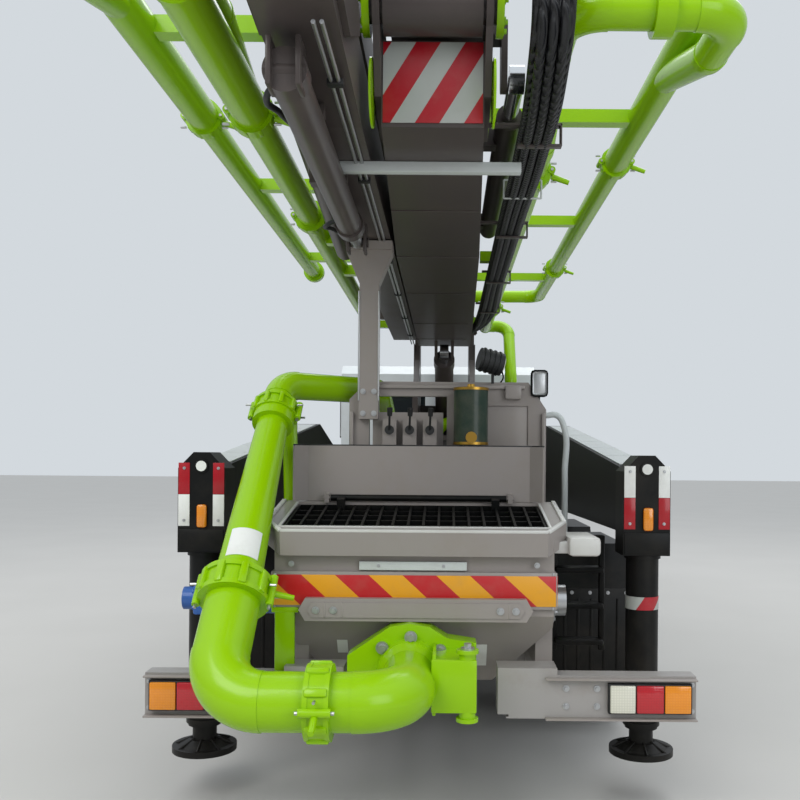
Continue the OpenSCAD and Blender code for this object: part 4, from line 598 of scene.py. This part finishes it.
# Section 3's folding cylinder and its lines: a grey barrel with a gland and a clevis under the box,
# thin hoses beside it, and zinc-plated oil pipes in clamps along the section's underside.
x, z = -0.36, 2.795
turned = ((-5.35, -3.62, 0.115), (-3.68, -3.6, 0.135), (-5.38, -5.3, 0.13))
barrel = [((x, y0, z), (x, y1, z), d, 48) for y0, y1, d in turned]
lugs = [((-0.41, -0.31), (y - 0.015, y + 0.015), (2.83, 2.881), 0.004) for y in (-4.9, -4.2)]
for y in (-5.36, -3.3):
    for plate in ((-0.41, -0.395), (-0.325, -0.31)):
        lugs.append((plate, (y - 0.05, y + 0.05), (2.74, 2.881), 0.004))
    barrel.append(((-0.42, y, z), (-0.3, y, z), 0.05, 32))
fit("section_3_cylinder", boom_enamel, "boom_3", lugs, barrel)
oil_pipes = [((pipe_x, -5.5, 2.872), (pipe_x, 1.5, 2.872), 0.013, 12) for pipe_x in (-0.262, -0.238)]
piston_rod = ((x, -3.61, z), (x, -3.3, z), 0.062, 32)
fit("section_3_rod_and_pipes", zinc, "boom_3", rods=[piston_rod] + oil_pipes)
spots = (-5.1, -4.1, -2.5, -1.4, -0.3, 0.8)
holders = [((-0.276, -0.224), (y - 0.018, y + 0.018), (2.861, 2.881), 0.003) for y in spots]
fit("section_3_pipe_clamps", black_plastic, "boom_3", holders)
for k, (x, y) in enumerate(((-0.425, -5.28), (-0.445, -3.75))):
    points = [(-0.4, y, 2.8), (x - 0.02, y + 0.08, 2.79), (x - 0.03, y + 0.35, 2.84)]
    points += [(x, y + 0.8, 2.9), (-0.436, y + 1.2, 2.93)]
    hose(f"section_3_hose_{k + 1}", points, 0.022, body="boom_3")


# Cylinder rods: hard-chromed steel, ground and polished to a mirror with faint rings around it. The
# outrigger legs and their jacks are black enamel.
chrome_look = {"Metallic": 1.0, "Base Color": "#C9CCCE"}
chrome = grained("hard_chromed_rod", chrome_look, 40, 5, (0.06, 0.2), (0.05, 0.0003), 0.7)
paint(["luff_rod", "rod_1", "rod_2", "rod_3"], chrome)
for corner in ("front", "rear"):
    paint([f"{part}_{corner}_{hand}" for part in ("leg", "jack") for _, hand in sides], black_enamel)


# Delivery line: cast elbows and thin pipe in glossy lime enamel. Each joint is held by a two-part
# clamp with a ribbed band, a hinge lug and a zinc-plated lever, so the seams catch the light.
def clamp(name, centre, along=(0, 1, 0), d=0.133, body="truck", width=0.075, lever=True):
    along, centre = Vector(along).normalized(), Vector(centre)
    side = along.cross(Vector((0, 0, 1) if abs(along.z) < 0.95 else (0, -1, 0))).normalized()
    up, reach = side.cross(along), along * width
    rods, ribs, pins = [(centre - reach * 0.46, centre + reach * 0.46, d + 0.022, 48)], [], []
    for shift in (-0.5, 0.3):
        end = centre + reach * shift
        rods.append((end, end + reach * 0.2, d + 0.04, 48))
    for k in range(9):
        a = math.radians(28 + 38 * k)
        out = side * math.cos(a) + up * math.sin(a)
        near = centre + out * (d / 2 + 0.016)
        ribs.append((near - reach * 0.44, near + reach * 0.44, d * 0.13, 0.026, out))
    for way in (-1, 1):
        lug = centre + side * way * (d / 2 + 0.026)
        rods.append((lug - reach * 0.62, lug + reach * 0.62, 0.036, 16))
        pins.append((lug - reach * 0.75, lug + reach * 0.75, 0.015, 6))
        for high in (-0.045, 0.045):
            pins.append((lug + up * high, lug + up * high + side * way * 0.028, 0.012, 6))
    if lever:
        start = centre + side * (d / 2 + 0.03) - up * 0.02
        rods.append((start, start + side * 0.085 - up * 0.03, 0.03, 16, 0.024))
    fit(name, lime_enamel, body, rods=rods, strips=ribs)
    fit(f"{name}_pins", zinc, body, rods=pins)


for number, x, z, rear_y, front_y in (
    (1, 0.52, 3.1, -3.5, 0.5),
    (2, 1.13, 3.5, -2.42, 0.67),
    (3, -0.7, 3.1, -4.24, -2.64),
):
    for end, y in (("rear", rear_y), ("front", front_y)):
        clamp(f"pipe_{number}_clamp_{end}", (x, y, z), body=f"boom_{number}")
clamp("pipe_4_clamp", (-1.13, -3.37, 3.4), body="boom_4")
clamp("turret_pipe_clamp", (0.84, 2.35, 2.4), (0, 0, 1), body="turret")
riser_foot, riser_head = Vector((-0.81, -4.4, 0.73)), Vector((-0.77, -3.15, 2.07))
riser_way = (riser_head - riser_foot).normalized()
clamp("outlet_elbow_clamp", (-0.38, -4.4, 0.73), (1, 0, 0), 0.262, width=0.1)
clamp("riser_foot_clamp", riser_foot + riser_way * 0.521, riser_way, 0.265, width=0.12)
clamp("riser_neck_clamp", riser_head - riser_way * 0.2, riser_way, 0.185, width=0.085, lever=False)

# Outlet casting: sand-cast iron under the enamel, with an arched flange held by zinc-plated studs,
# a swing-door lug with its pin, and stiffener ribs. This is the most worked-out fitting.
flange_face, door_x, door_y = -3.909, 0.205, -4.12
arch, door_side = ((-0.172, 0.841), (-0.044, 0.889), (0.087, 0.831)), ((0.215, 0.805), (0.215, 0.655))
casting = [((x, -3.886, z), (x, flange_face, z), 0.055, 32) for x, z in arch + door_side]
casting.append(((-0.05, -3.886, 0.73), (-0.05, -3.93, 0.73), 0.3, 64, 0.285))
casting.append(((-0.05, -3.92, 0.73), (-0.05, -3.99, 0.73), 0.285, 64, 0.236))
casting += [((door_x, door_y, z), (door_x, door_y, z + 0.016), 0.095, 32) for z in (0.578, 0.866)]
ribs = [
    ((0.052, 0.244), (-4.155, door_y), (0.618, 0.842), 0.006),
    ((0.056, 0.072), (-4.13, -3.88), (0.6, 0.86), 0.004),
    ((0.222, 0.238), (-4.06, -3.88), (0.6, 0.86), 0.004),
]
fit("outlet_flange_ribs", lime_enamel, blocks=ribs, rods=casting)
studs = [
    ([(x, flange_face, z) for x, z in arch], 0.03),
    ([(x, flange_face, z) for x, z in door_side], 0.026),
    ([(door_x, door_y, 0.882)], 0.03, (0, 0, 1)),
]
fit("outlet_flange_bolts", zinc, nuts=studs)

# White vinyl patches: smooth calendered film, left bare, slightly yellowed where dust sticks. One
# is wrapped round the tapered riser, 42 degrees to both sides of where it faces.
white_vinyl = enamel("bare_white_vinyl", "#E4E5E1", roughness=0.35, dirt=0.3, coat=0.3)
facing = Vector((0.15, -1, 0))
out = (facing - facing.dot(riser_way) * riser_way).normalized()
around = riser_way.cross(out)


def slab(bm, first, second):
    # A flat or bent plate between two outlines with the same number of points.
    rings = [[bm.verts.new(point) for point in ring] for ring in (first, second)]
    for ring in rings:
        bm.faces.new(ring)
    for i in range(-1, len(rings[0]) - 1):
        bm.faces.new((rings[0][i], rings[0][i + 1], rings[1][i + 1], rings[1][i]))


rings = []
for t in (0.64, 0.79):
    radius, ring = (0.21 - (t - 0.521) * 0.0523) / 2, []
    for lift, way in ((0.0004, 1), (0.002, -1)):
        for a in (way * math.radians(42 * i / 8) for i in range(-8, 9)):
            away = out * math.cos(a) + around * math.sin(a)
            ring.append(riser_foot + riser_way * t + away * (radius + lift))
    rings.append(ring)
bm = bmesh.new()
slab(bm, *rings)
to_piece("riser_vinyl_patch", bm, white_vinyl)

posts = [
    ((-0.8, -0.66), (-3.13, -3.07), (1.2, 1.26), 0.006),
    ((-0.674, -0.583), (-3.8, -3.772), (0.69, 0.995), 0.004),
    ((-0.69, -0.565), (-3.802, -3.765), (0.975, 1.0), 0.004),
]
braces = [
    ((-0.715, -3.1, 1.18), (-0.735, -3.1, 1.98), 0.075, 0.06),
    ((-0.735, -3.1, 1.62), (-0.43, -2.99, 1.62), 0.05, 0.05),
]
fit("riser_posts", lime_enamel, blocks=posts, strips=braces)
# The bare tags lie on the hopper's sloping back.
lean = Matrix(((-1, 0, 0), (0, -0.6, 0.8), (0, -0.8, -0.6))).transposed().to_4x4()
for hand, x, y, z, height in (("left", -0.378, -3.645, 0.79, 0.09), ("right", 0.284, -3.61, 0.745, 0.15)):
    bm = bmesh.new()
    cube(bm, (x, y, z), lean, (0.05, height, 0.0012), 0.00036, segments=1)
    to_piece(f"bare_tag_{hand}", bm, white_vinyl)
# Wear sleeves: the pipes near the knuckles are thicker as far as their next clamp.
for number, x, z, y0, y1 in (
    (2, 1.13, 3.5, -4.45, -2.45),
    (4, -1.13, 3.4, -5.35, -3.4),
    (3, -0.7, 3.1, -5.3, -4.27),
):
    sleeve = [((x, y0, z), (x, y1, z), 0.154, 64), ((x, y0, z), (x, y0 + 0.03, z), 0.166, 64)]
    fit(f"pipe_{number}_sleeve", lime_enamel, f"boom_{number}", rods=sleeve)


# Outriggers: black box arms with light grey cover plates on top, and gabled head plates with a
# white-lined hole, red and white reflectors down the edges, and an amber marker lamp.
jack_x, pivot_x, arm_top, hole_z = 1.11, 0.96, 1.64, 1.641
# Retro-reflective film: a smooth, deep red under a clear skin.
red_reflector = enamel("red_retroreflective_film", "#A3081A", roughness=0.3, dirt=0.12, coat=0.5)
for side, hand in sides:
    for corner, jack_y, pivot_y, crest in (("rear", -3.35, 0.62, 1.95), ("front", 1.15, 2.95, 1.709)):
        leg, foot = f"leg_{corner}_{hand}", f"jack_{corner}_{hand}"
        x, back, run = side * jack_x, jack_y - 0.1, pivot_y - jack_y
        crest_y = jack_y + 0.68 * run
        slope, shift = (crest - arm_top) / (crest_y - jack_y), (pivot_x - jack_x) / run
        skin = (back - 0.0035, back - 0.0005)
        head = ((x - 0.112, x + 0.112), (back - 0.006, back + 0.001), (1.214, 1.325), 0.003)
        collars = [((x, jack_y, z), (x, jack_y, z + 0.022), 0.183, 48) for z in (0.345, 1.19)]
        collars.append(((x, back, hole_z), (x, back - 0.008, hole_z), 0.07, 40))
        fit(f"{leg}_head_frame", black_enamel, leg, [head], collars)
        hole = ((x, back - 0.006, hole_z), (x, back - 0.0095, hole_z), 0.052, 40)
        fit(f"{leg}_white_hole", white_vinyl, leg, rods=[hole])
        places = [(x + dx, back - 0.0035, z) for dx in (-0.085, 0.085) for z in (1.37, 1.63)]
        fit(f"{leg}_head_bolts", zinc, leg, nuts=[(places, 0.008)])
        # The upper pair is red on the left and white on the right, and the lower the other way.
        films = (red_reflector, white_vinyl)[::-side]
        for level, film, z in zip(("upper", "lower"), films, (1.5, 1.342)):
            both = [((x + w * 0.058, x + w * 0.114), skin, (z, z + 0.157), 0.0008) for w in (-1, 1)]
            fit(f"{leg}_{level}_reflectors", film, leg, both)
        bm, step = bmesh.new(), run * 0.1
        for k in range(6):
            y0 = jack_y + 0.16 + k * step * 1.02
            if y0 + step > crest_y - 0.05:
                break
            under = []
            for y, half in ((y0, 0.08), (y0 + step, -0.08)):
                middle, z = side * (jack_x + shift * (y - jack_y)), arm_top + slope * (y - jack_y) + 0.001
                under += [(middle - half, y, z), (middle + half, y, z)]
            slab(bm, under, [(px, py, pz + 0.006) for px, py, pz in under])
        to_piece(f"{leg}_cover_plates", bm, light_steel, leg)
        marker = ((x - 0.02, x + 0.03), (back - 0.022, back - 0.0005), (1.335, 1.45), 0.012)
        fit(f"{leg}_marker_lamp", amber_lens, leg, [marker])
        band = ((x, jack_y, 0.935), (x, jack_y, 1.0), 0.1665, 48)
        fit(f"{leg}_column_band", red_white, leg, rods=[band])
        ribs = [
            ((x + c * 0.06, jack_y + s * 0.06, 0.262), (x + c * 0.145, jack_y + s * 0.145, 0.226), 0.014, 8)
            for c, s in circle(1, 8)
        ]
        fit(f"{foot}_foot_ribs", black_enamel, foot, rods=ribs)


# Hopper: welded sheet in warm grey enamel, its rim folded out; pale strips along the lip are a painted
# highlight. A red and amber chevron panel crosses the back, over a folded ledge with the casting's bracket.
# Painted highlight: this pale rim enamel, with real dust patches, stands in for light on the rounded lip.
rim_highlight_pale = enamel("rim_enamel_pale_painted_highlight", "#C9C8C4", roughness=0.5, dirt=0.4, dust="#B3AEA4", low_dust=0.1)
paint(["hopper", "splash_guard", "rear_frame", "pump"], grey_enamel)
# The agitator's motor is blue, and the hub at the right-hand end of the same node is bare metal.
motor = enamel("motor_blue_and_silver_hub", "#2E62B0", roughness=0.3, dirt=0.2)
surface = next(node for node in motor.node_tree.nodes if node.type == "BSDF_PRINCIPLED")
blue = surface.inputs["Base Color"].links[0].from_socket
place = add_node(surface, "TexCoord").outputs["Object"]
across = add_node(place, "SeparateXYZ", {0: place}).outputs[0]
right_end = add_node(place, "Math", {"operation": "GREATER_THAN", 0: across, 1: 0.0}).outputs[0]
both_ends = {"data_type": "RGBA", 0: right_end, 6: blue, 7: "#B9BABB"}
connect(add_node(place, "Mix", both_ends).outputs[2], surface)
connect(right_end, surface, "Metallic")
paint(["agitator_motor"], motor)
ports = [((-1.108, y, z), (-1.09, y, z), 0.022, 6) for y in (-3.6, -3.5) for z in (0.96, 1.04)]
ports.append(((-1.16, -3.55, 1.0), (-1.09, -3.55, 1.0), 0.11, 48))
ports.append(((-1.05, -3.55, 1.065), (-1.05, -3.55, 1.1), 0.045))
valve = ((-1.1, -1.005), (-3.63, -3.47), (0.93, 1.07), 0.012)
fit("agitator_motor_valve_block", motor, blocks=[valve], rods=ports)
# Steel scoured by concrete: patches of bare grey between rough, dull crusts.
worn_look = {"Metallic": 0.7, "Base Color": "#77736D"}
paint(["agitator"], grained("concrete_worn_steel", worn_look, 18, 8, (0.4, 0.9), (0.4, 0.002)))

# The rim slopes up towards the cab; its folded outer edge and its mouth are edged with pale strips,
# which paint the lip's highlight.
hopper_x, rim_depth, rim_rise = -0.035, 0.68, 0.11
tilt = math.atan(rim_rise / rim_depth)
rim_foot = Vector((hopper_x, -3.85, 1.35))
rim_up = Vector((0, -math.sin(tilt), math.cos(tilt)))
rim_along = Vector((0, math.cos(tilt), math.sin(tilt)))
length = rim_depth / math.cos(tilt)
fold = [(-0.708, length - 0.012), (-0.708, 0.22), (-0.61, 0.012)]
fold += [(-x, along) for x, along in reversed(fold)]
mouth = [(-0.63, length - 0.065), (-0.63, 0.09), (0.63, 0.09), (0.63, length - 0.065)]
edges = []
for path, lift, width, height in ((fold, 0.004, 0.022, 0.014), (mouth, 0.003, 0.014, 0.01)):
    knots = [rim_foot + Vector((x, 0, 0)) + rim_along * along + rim_up * lift for x, along in path]
    edges += [(start, end, width, height, rim_up) for start, end in zip(knots, knots[1:])]
fit("hopper_rim_edges", rim_highlight_pale, strips=edges)

frame_bars = [((-0.694, 0.624), (-3.795, -3.769), (0.995, 1.165), 0.004)]
panels = [((-0.688, 0.618), (-3.7975, -3.7945), (1.01, 1.15), 0.0005)]
for side, _ in sides:
    wall, skin = hopper_x + side * 0.646, hopper_x + side * 0.6585
    frame_bars.append(((wall, wall + side * 0.013), (-3.79, -3.46), (0.995, 1.165), 0.004))
    panels.append(((skin, skin + side * 0.003), (-3.787, -3.465), (1.01, 1.15), 0.0005))
fit("warning_panel_frame", grey_enamel, blocks=frame_bars)
fit("warning_panel", red_amber, blocks=panels)

ledge = [(-0.56, 0.995), (-0.53, 1.048), (0.48, 1.048), (0.51, 0.995), (0.48, 0.945), (-0.53, 0.945)]
bracket = [(-0.5, 0.962), (-0.52, 0.995), (-0.5, 1.03), (0.45, 1.03), (0.47, 0.995), (0.45, 0.962)]
bm = bmesh.new()
for outline, depth in ((ledge, (-3.768, -3.84)), (bracket, (-3.839, -3.846))):
    slab(bm, *([(x, y, z) for x, z in outline] for y in depth))
for x in (-0.44, -0.36, 0.4):
    strip(bm, (x, -3.842, 0.962), (x, -3.842, 1.03), 0.012, 0.012)
to_piece("hopper_ledge", bm, grey_enamel)
ledge_nuts = [
    ([(x, -3.846, 0.996) for x in (-0.48, -0.4, 0.36, 0.43)], 0.018),
    ([(x, -3.792, z) for x in (-0.675, 0.605) for z in (1.003, 1.157)], 0.009),
]
fit("hopper_ledge_bolts", zinc, nuts=ledge_nuts)
top_strip = ((-0.289, 0.207), (-3.79, -3.769), (1.172, 1.212), 0.003)
fit("panel_top_strip", light_steel, blocks=[top_strip])
rivets = [(x, -3.79, 1.192) for x in (-0.2, 0.1)]
fit("panel_strip_rivets", zinc, nuts=[(rivets, 0.008)])

# Side fittings: the tray for the washing brush, the agitator's flanged bearings and the motor's
# hose, all bolted to the hopper's walls.
tray = ((0.684, 0.835), (-3.74, -3.42), (1.235, 1.325), 0.02)
tray_arm = ((0.6, 0.7), (-3.7, -3.46), (1.245, 1.3), 0.008)
fit("brush_tray", rim_highlight_pale, blocks=[tray, tray_arm])
shaft_y, shaft_z, wall = -3.535, 1.0, 0.6475
turned = [(side, 0, 0.022, 0.215, 48) for side, _ in sides]
turned += [(1, 0.02, 0.05, 0.15, 48, 0.13), (1, 0.05, 0.062, 0.1, 40, 0.085)]
bearings = []
for side, inner, outer, *girth in turned:
    ends = [(hopper_x + side * (wall + out), shaft_y, shaft_z) for out in (inner, outer)]
    bearings.append((*ends, *girth))
fit("agitator_bearings", zinc, rods=bearings)
bearing_nuts = [([(x, -3.795, z) for x in (-0.6, 0.53) for z in (1.26, 1.2)], 0.014)]
for side, _ in sides:
    face = hopper_x + side * (wall + 0.022)
    ring = [(face, shaft_y + dy, shaft_z + dz) for dy, dz in circle(0.092, 6, 0.5)]
    bearing_nuts.append((ring, 0.015, (side, 0, 0)))
fit("agitator_bearing_bolts", zinc, nuts=bearing_nuts)
run = [(-0.93, -3.5, 1.1), (-0.93, -3.5, 1.2), (-0.9, -3.35, 1.27)]
hose("agitator_motor_hose", run + [(-0.82, -3.12, 1.26), (-0.7, -2.98, 1.24)], 0.028)

# Rear frame: a plate frame behind the hopper that holds the control valves. The valve block is
# machined and painted, with spring-return levers, brass ports, and hoses that drop to the deck.
# Turned brass: warm yellow, with fine tool marks that spread the highlights.
brass_look = {"Metallic": 1.0, "Base Color": "#B08A3E"}
brass = grained("machined_brass", brass_look, 150, 3, (0.22, 0.45), (0.1, 0.0003))
for k, x in enumerate((-0.2025, -0.0925, 0.0175), 1):
    lever = [
        ((x, -3.025, 1.84), (x, -3.048, 1.84), 0.05),
        ((x, -3.045, 1.84), (x + 0.004, -3.085, 1.92), 0.012, 12),
        ((x + 0.004, -3.083, 1.915), (x + 0.006, -3.098, 1.955), 0.026, 16, 0.03),
    ]
    fit(f"valve_lever_{k}", black_plastic, rods=lever)
    nipples = [((x, -3.024, z), (x, -3.05, z), 0.04, 6) for z in (1.6, 1.7)]
    fit(f"valve_ports_{k}", brass, rods=nipples)
    for j, z in enumerate((1.6, 1.7)):
        near = [(x, -3.04, z), (x, -3.075, z - 0.01), (x + 0.01, -3.09, z - 0.1)]
        bend, rise = (x + 0.03 + 0.02 * j, -3.05, 1.47), 0.02 * j
        far = [bend, (x + 0.05, -3.0, 1.38 + rise), (x + 0.06, -2.9, 1.33 + rise)]
        hose(f"valve_hose_{k}_{j + 1}", near + far, 0.024)
frame_edges = [((x, x + 0.02), (-2.975, -2.949), (1.2, 1.94), 0.004) for x in (-0.425, 0.635)]
frame_edges += [
    ((-0.4, 0.62), (-2.972, -2.949), (1.29, 1.31), 0.004),
    ((-0.32, 0.54), (-2.972, -2.949), (2.072, 2.092), 0.004),
    ((0.185, 0.565), (-2.94, -2.925), (1.415, 1.985), 0.003),
    ((0.43, 0.52), (-2.99, -2.949), (2.015, 2.09), 0.008),
]
fit("rear_frame_edges", grey_enamel, blocks=frame_edges)
# Cast rubber pad: dull black and coarse, with no shine at all.
pad_look = {"Base Color": "#1B1B1C", "Roughness": 0.85}
rest_pad = grained("rest_pad_rubber", pad_look, 300, 3, relief=(0.4, 0.0008))
pad = ((-0.435, -0.205), (-3.02, -2.89), (2.8725, 2.8785), 0.002)
fit("boom_rest_pad", rest_pad, blocks=[pad])
seams = [((x, -3.01, 2.0), (x, -3.01, 2.6), 0.01, 0.01) for x in (-0.374, -0.266)]
rest_nuts = [(x, -3.01, z) for x in (-0.35, -0.29) for z in (1.93, 2.05)]
fit("boom_rest_bolts", zinc, strips=seams, nuts=[(rest_nuts, 0.016)])

# Dark green enamel: a deep, half glossy green under some dust.
paint(["grease_pump"], enamel("dark_green_enamel", "#26382E", roughness=0.35, dirt=0.25))
x, y = 0.24, -3.06
brass_parts = [((x, y, z), (x, y, z + 0.014), 0.192, 48) for z in (1.762, 2.055)]
brass_parts.append(((x, y, 2.069), (x, y, 2.09), 0.05, 24, 0.04))
brass_parts.append(((x, -3.155, 1.8), (x, -3.175, 1.8), 0.06, 32))
for dx, _ in circle(0.06, 6, 0.25)[:3]:
    brass_parts.append(((x + dx, y - 0.06, 1.752), (x + dx, y - 0.08, 1.748), 0.014, 10))
fit("grease_pump_fittings", brass, rods=brass_parts)

lamp_rods = [
    ((0.36, -2.98, 2.1), (0.36, -2.98, 2.17), 0.016, 12),
    ((0.285, -3.0, 2.235), (0.41, -2.97, 2.205), 0.125, 32),
]
for k in range(4):
    x, fall = 0.3 + 0.028 * k, 0.24 * 0.028 * k
    start = (x, -2.9965 + fall, 2.2315 - fall)
    lamp_rods.append((start, (x + 0.008, -2.9946 + fall, 2.2296 - fall), 0.136, 32))
fit("work_lamp_body", black_plastic, rods=lamp_rods)
front_glass = ((0.41, -2.97, 2.205), (0.42, -2.968, 2.2026), 0.105, 32, 0.085)
fit("work_lamp_glass", white_lens, rods=[front_glass])
cable = [(0.415, -2.94, 2.17), (0.42, -2.9, 2.13), (0.36, -2.89, 2.08), (0.3, -2.885, 2.05)]
hose("work_lamp_cable", cable, 0.009)
arm = ((0.62, -2.92, 1.94), (0.62, -2.95, 2.08), 0.014, 12)
shell = ((0.572, 0.668), (-2.965, -2.945), (2.03, 2.18), 0.02)
fit("rear_mirror_body", black_plastic, blocks=[shell], rods=[arm])
mirror = ((0.58, 0.66), (-2.968, -2.963), (2.04, 2.17), 0.015)
fit("rear_mirror_glass", zinc, blocks=[mirror])


# Right side: a pale grab rail by the rear frame, a black ladder below the deck, and rubber flaps
# behind the wheels, moulded with ribs and bolted to the mudguards.
rail = [(0.66, -2.93, 1.93), (0.72, -2.94, 1.93), (0.755, -2.95, 1.88), (0.765, -2.95, 1.6)]
hose("grab_rail", [*rail, (0.765, -2.95, 1.262)], 0.034, light_steel)
ladder = [((x - 0.015, x + 0.015), (-2.9, -2.86), (0.62, 1.255), 0.004) for x in (0.72, 0.985)]
ladder += [((0.72, 0.985), (-2.96, -2.84), (z, z + 0.028), 0.006) for z in (0.66, 0.86, 1.06)]
ladder.append(((0.7, 1.0), (-2.9, -2.82), (1.235, 1.26), 0.004))
for side, _ in sides:
    ladder.append(((side * 0.62, side * 1.238), (-2.452, -2.442), (0.32, 0.9), 0.003))
    for k in range(7):
        x = side * (0.68 + 0.08 * k)
        ladder.append(((x - 0.008, x + 0.008), (-2.458, -2.45), (0.36, 0.84), 0.002))
fit("ladder_and_mud_flaps", black_enamel, blocks=ladder)
for side, hand in sides:
    row = [(side * (0.66 + 0.11 * k), -2.452, 0.875) for k in range(6)]
    fit(f"mud_flap_bolts_{hand}", zinc, nuts=[(row, 0.012)])


# Splash guard and bumper: the guard's thin sheet has a rubber edging along its top, and folded
# flanges stiffen the bumper's upper and lower edges.
top, size, upward = 1.75, (0.012, 0.014), (0, 0, 1)
edging = [((-0.63, -3.171, top), (0.56, -3.171, top), *size, upward)]
for side, _ in sides:
    near, far = hopper_x + side * 0.597, hopper_x + side * 0.653
    edging.append(((near, -3.172, top), (far, -3.238, top), *size, upward))
fit("splash_guard_edging", hose_rubber, strips=edging)
flanges = []
for x in ((-1.249, -0.565), (0.565, 1.249)):
    flanges += [(x, (-3.888, -3.849), (z, z + 0.008), 0.002) for z in (0.512, 0.692)]
fit("bumper_flanges", grey_enamel, blocks=flanges)

# Studio: a pale painted floor, one broad key light from the left rear, a cooler fill from the right
# and a high light over the cab, under a soft overcast sky.
# Painted concrete: matt and pale, very slightly cloudy.
floor, surface, place = new_material("pale_studio_floor", {"Roughness": 0.9})
cloudy = add_node(place, "TexNoise", {"Scale": 0.8, "Detail": 4, "Vector": place}).outputs[0]
tone = {"data_type": "RGBA", 0: cloudy, 6: "#BAB8B4", 7: "#C2C0BC"}
connect(add_node(place, "Mix", tone).outputs[2], surface)
bm = bmesh.new()
bmesh.ops.create_grid(bm, x_segments=2, y_segments=2, size=60)
mesh = bpy.data.meshes.new("studio_floor")
bm.to_mesh(mesh)
bm.free()
mesh.materials.append(floor)
ground = bpy.data.objects.new("studio_floor", mesh)
ground.location = (0, 0, -0.001)
add_object(ground)

for name, spot, target, size, power, colour in (
    ("key_light", (-6.0, -12.0, 10.0), (0, -2.5, 1.6), 7.0, 750, (1.0, 0.985, 0.96)),
    ("fill_light", (7.0, -13.0, 4.5), (0, -3.0, 1.4), 6.0, 330, (0.93, 0.97, 1.0)),
    ("top_light", (2.0, 4.0, 12.0), (0, 0, 2.0), 8.0, 500, (1.0, 1.0, 1.0)),
):
    lamp = bpy.data.lights.new(name, "AREA")
    lamp.energy, lamp.size, lamp.color = power, size, colour
    stand = bpy.data.objects.new(name, lamp)
    stand.location = spot
    stand.rotation_euler = (Vector(target) - Vector(spot)).to_track_quat("-Z", "Y").to_euler()
    add_object(stand)

# The sky lights the truck from above, as cloud does, and fades to a dim horizon, so undersides
# stay dark; the camera alone sees an even pale grey.
world = bpy.data.worlds.new("overcast_sky")
world.use_nodes = True
bpy.context.scene.world = world
world.node_tree.nodes.clear()
direction = add_node(world.node_tree, "TexCoord").outputs["Generated"]
height = add_node(direction, "SeparateXYZ", {0: direction}).outputs[2]
rise = {"From Min": -0.05, "From Max": 0.7, "To Min": 0.22, "To Max": 1.25, "Value": height}
dome = add_node(direction, "MapRange", rise).outputs[0]
cloud = add_node(direction, "Background", {0: "#E4EAF0", 1: dome}).outputs[0]
backdrop = add_node(direction, "Background", {0: "#D3D9DE", 1: 1.0}).outputs[0]
seen = add_node(direction, "LightPath").outputs["Is Camera Ray"]
either = add_node(direction, "MixShader", {0: seen, 1: cloud, 2: backdrop}).outputs[0]
add_node(direction, "OutputWorld", {0: either})
bpy.context.scene.view_settings.view_transform = "Standard"
